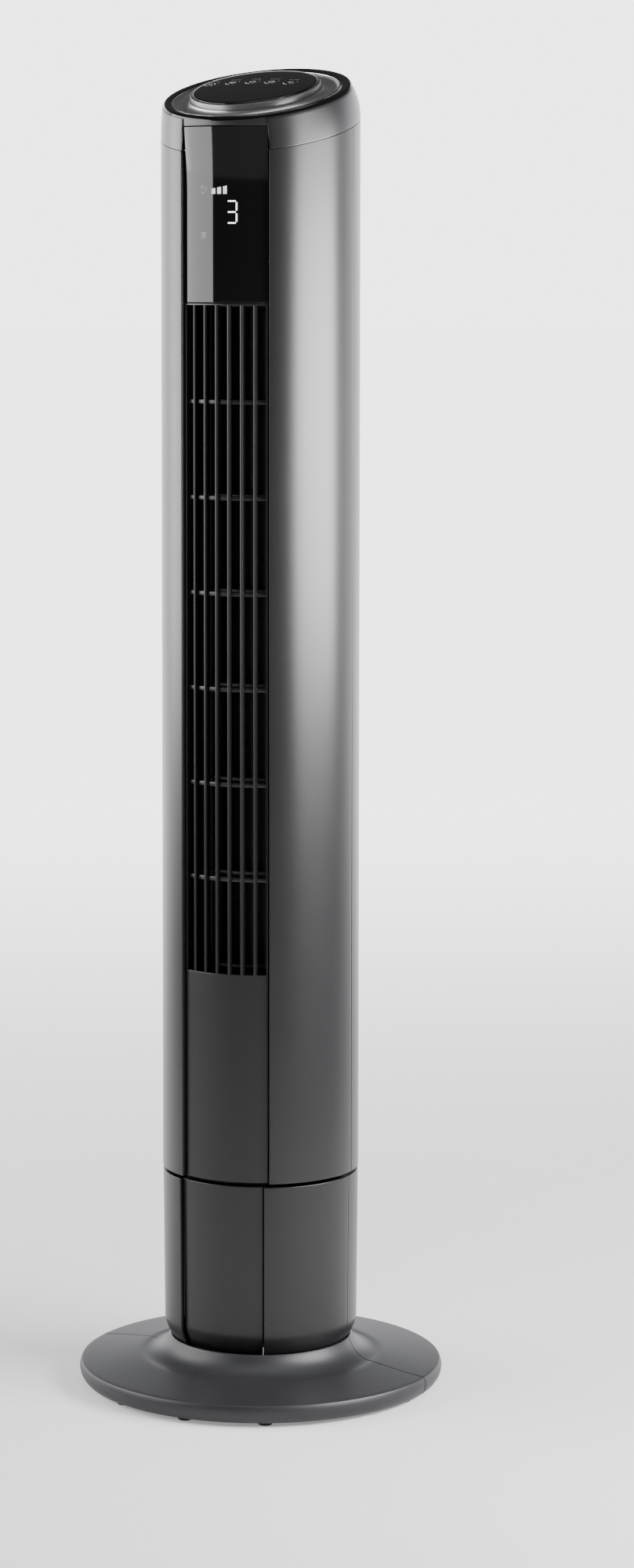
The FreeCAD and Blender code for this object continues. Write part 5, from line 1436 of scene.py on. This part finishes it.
class FAN_OT_symbols(bpy.types.Operator):
    """Prints the signs of the touch keys"""
    bl_idname = "fan.symbols"
    bl_label = "Touch key signs"

    def execute(self, context):
        sizes, colours = context.scene.fan_sizes, context.scene.fan_finishes
        parts, faint = [], []
        for k in range(sizes.keys):
            x, y = key_centre(k, sizes.keys, sizes.key_pitch / MM)
            parts += key_sign(k % 5, x, y)
            parts.append(stroke(flat_arc(x, y, 5.0, 195, 262, 12), 0.75, on_panel))
            faint.append(stroke(flat_arc(x, y, 5.0, 285, 330, 8), 0.5, on_panel))
            faint.append(stroke(flat_arc(x, y, 5.0, 10, 40, 6), 0.6, on_panel))
            for j in range(4):
                start = x - 3.6 + 1.9 * j
                faint.append(stroke([(start, y + 7.4), (start + 1.4, y + 7.4)], 0.9, on_panel))
        signs = solid("key_signs", parts, HEAD_TURN)
        settle(signs, "head", printed("printed_ink", colours.ink), "white_plastic")
        marks = solid("key_marks", faint, HEAD_TURN)
        settle(marks, "head", printed("printed_ink_faint", shade(colours.ink, 0.35)), "white_plastic")
        return {"FINISHED"}


# ---- parts that stay as they are and only get a finish ------------------------------------------------
def inner_finishes(colours):
    """The finish of every inner part, by its material slot."""
    return {
        "inner_plastic": moulded("inner_moulding", colours.inner, 0.55, 900.0),
        "wheel_plastic": moulded("wheel_moulding", (0.01, 0.01, 0.011, 1.0), 0.5, 1100.0),
        "gear_plastic": moulded("acetal", (0.02, 0.02, 0.02, 1.0), 0.35, 800.0),
        "white_plastic": moulded("white_moulding", (0.6, 0.6, 0.58, 1.0), 0.4, 800.0),
        "panel_plastic": moulded("panel_moulding", colours.strip, 0.45, 1200.0),
        "board_green": circuit("circuit_board", (0.005, 0.045, 0.018, 1.0)),
        "foot_rubber": rubber("soft_rubber", (0.012, 0.012, 0.012, 1.0)),
        "screw_steel": metal("zinc_plate", (0.2, 0.2, 0.205, 1.0), 0.38),
        "bare_steel": metal("bright_steel", (0.5, 0.5, 0.51, 1.0), 0.28),
        "motor_steel": metal("drawn_steel", (0.42, 0.42, 0.43, 1.0), 0.4, (80.0, 80.0, 900.0)),
        "core_steel": laminated("lamination_stack", (0.25, 0.25, 0.26, 1.0)),
        "cast_aluminium": metal("cast_alloy", (0.55, 0.55, 0.56, 1.0), 0.5, (500.0, 500.0, 500.0)),
        "bush_bronze": metal("sintered_bronze", (0.38, 0.24, 0.11, 1.0), 0.5, (2200.0, 2200.0, 2200.0)),
        "winding_copper": wound("copper_winding", (0.55, 0.2, 0.07, 1.0)),
    }


class FAN_OT_inside(bpy.types.Operator):
    """Gives the inner parts their finishes"""
    bl_idname = "fan.inside"
    bl_label = "Inner parts"

    def execute(self, context):
        finishes = inner_finishes(context.scene.fan_finishes)
        slots = {part["node"]: part["material_slot"] for part in frame["record"]["subparts"]}
        for name, node in frame["nodes"].items():
            if slots[name] in finishes:
                node.data.materials.clear()
                node.data.materials.append(finishes[slots[name]])
        for name in ("cord_gland", "turntable_plate", "thrust_ring", "head_base_plate"):
            body = next(b for b, members in frame["record"]["behaviour"]["bodies"].items() if name in members)
            settle(copy_of(name), body, finishes[slots[name]], slots[name], name)
        return {"FINISHED"}


# ---- stage --------------------------------------------------------------------------------------------
def softbox(name, around, distance, height, width, tall, power, tint=(1.0, 1.0, 1.0), aim=0.5):
    """A rectangular studio light that faces the column. around is measured from the camera's side."""
    data = bpy.data.lights.new(name, "AREA")
    data.shape, data.size, data.size_y, data.energy, data.color = "RECTANGLE", width, tall, power, tint
    lamp = bpy.data.objects.new(name, data)
    bpy.context.scene.collection.objects.link(lamp)
    turn = bpy.context.scene.fan_studio.camera_around + math.radians(around)
    lamp.location = (distance * math.sin(turn), -distance * math.cos(turn), height)
    lamp.rotation_euler = (Vector((0, 0, aim)) - lamp.location).to_track_quat("-Z", "Y").to_euler()
    lamp.visible_camera = False
    return lamp


class FAN_OT_stage(bpy.types.Operator):
    """Sets the floor, the lights and the camera"""
    bl_idname = "fan.stage"
    bl_label = "Stage"

    def execute(self, context):
        self.floor()
        self.lights()
        self.camera(context)
        return {"FINISHED"}

    def floor(self):
        mesh = bpy.data.meshes.new("studio_floor")
        rim = [Vector((x, y, 0.0)) for x, y in circle(40.0, 96)]
        mesh.from_pydata(rim, [], [tuple(range(96))])
        floor = bpy.data.objects.new("studio_floor", mesh)
        bpy.context.scene.collection.objects.link(floor)
        mesh.materials.append(self.surface())
        world = bpy.data.worlds.new("studio_air")
        bpy.context.scene.world = world
        world.use_nodes = True
        air = Recipe(world.node_tree)
        view = air.make("ShaderNodeTexCoord", out="Generated")
        beyond = self.rise(air, self.depth(air, view), 0.1, 0.7)
        low = 1.0 - self.rise(air, air.make("ShaderNodeSeparateXYZ", None, {0: view}, out="Z"), 0.12, 0.4)
        glow = beyond * low * 3.6 + 0.1
        shown = world.node_tree.nodes["Background"].inputs
        shown["Color"].default_value = (0.97, 0.98, 1.0, 1.0)
        world.node_tree.links.new(glow.socket, shown["Strength"])

    @staticmethod
    def depth(recipe, place):
        """How far a place lies beyond the fan, along the camera's level line."""
        a = bpy.context.scene.fan_studio.camera_around
        return recipe.make("ShaderNodeVectorMath", {"operation": "DOT_PRODUCT"},
                           {0: place, 1: (-math.sin(a), math.cos(a), 0.0)}, out="Value")

    @staticmethod
    def rise(recipe, wire, low, high):
        return recipe.make("ShaderNodeMapRange", {"interpolation_type": "SMOOTHSTEP"},
                           {"Value": wire, "From Min": low, "From Max": high, "To Min": 0.0, "To Max": 1.0})

    def surface(self):
        """The studio's pale floor: a barely visible mottle, and a soft glow far beyond the fan."""
        f = Finish("studio_white", Specular_IOR_Level=0.0, Emission_Strength=1.0)
        mottle = f.noise(1.3, 3.0)
        glow = self.rise(f, self.depth(f, f.place), -0.1, 3.0)
        f.feed("Base Color", f.mixed(mottle, (0.64, 0.64, 0.64, 1.0), (0.68, 0.68, 0.68, 1.0)))
        f.feed("Emission Color", f.mixed(glow, (0.3, 0.3, 0.3, 1.0), (3.4, 3.4, 3.45, 1.0)))
        f.feed("Roughness", mottle * 0.1 + 0.85)
        return f.material

    def lights(self):
        softbox("right_softbox", 66.0, 1.0, 0.66, 0.95, 0.45, 52.0, aim=0.76)
        softbox("left_softbox", -91.0, 1.25, 0.85, 1.6, 1.0, 40.0, aim=0.95)
        softbox("top_softbox", 20.0, 0.5, 2.6, 1.6, 1.6, 19.0)

    def camera(self, context):
        studio = context.scene.fan_studio
        data = bpy.data.cameras.new("front_camera")
        camera = bpy.data.objects.new("front_camera", data)
        context.scene.collection.objects.link(camera)
        a, far = studio.camera_around, studio.camera_distance
        camera.location = (far * math.sin(a), -far * math.cos(a), studio.camera_height)
        camera.rotation_euler = (math.radians(90) - studio.camera_tilt, 0.0, a)
        data.lens, data.sensor_width = studio.lens, 36.0
        data.shift_x, data.shift_y = 0.0359, -0.1109
        data.clip_start, data.clip_end = 0.1, 200.0
        context.scene.camera = camera


# ---- panel, registration and the run ------------------------------------------------------------------
STEPS = (FAN_OT_stage, FAN_OT_base, FAN_OT_feet, FAN_OT_screws, FAN_OT_stand, FAN_OT_head, FAN_OT_outlet,
         FAN_OT_intake, FAN_OT_window, FAN_OT_top, FAN_OT_symbols, FAN_OT_inside)


class FAN_PT_tools(bpy.types.Panel):
    bl_label = "Tower Fan"
    bl_idname = "FAN_PT_tools"
    bl_space_type = "VIEW_3D"
    bl_region_type = "UI"
    bl_category = "Tower Fan"

    def draw(self, context):
        for step in STEPS:
            self.layout.operator(step.bl_idname)
        for group in (context.scene.fan_sizes, context.scene.fan_finishes, context.scene.fan_studio):
            box = self.layout.box()
            for key in group.bl_rna.properties.keys():
                if key not in ("rna_type", "name"):
                    box.prop(group, key)


CLASSES = (FanFinishes, FanSizes, StudioSettings) + STEPS + (FAN_PT_tools,)


def register():
    for cls in CLASSES:
        bpy.utils.register_class(cls)
    bpy.types.Scene.fan_finishes = PointerProperty(type=FanFinishes)
    bpy.types.Scene.fan_sizes = PointerProperty(type=FanSizes)
    bpy.types.Scene.fan_studio = PointerProperty(type=StudioSettings)


def unregister():
    del bpy.types.Scene.fan_studio
    del bpy.types.Scene.fan_sizes
    del bpy.types.Scene.fan_finishes
    for cls in reversed(CLASSES):
        bpy.utils.unregister_class(cls)


def main():
    register()
    for step in STEPS:
        group, action = step.bl_idname.split(".")
        getattr(getattr(bpy.ops, group), action)()


if __name__ == "__main__":
    main()
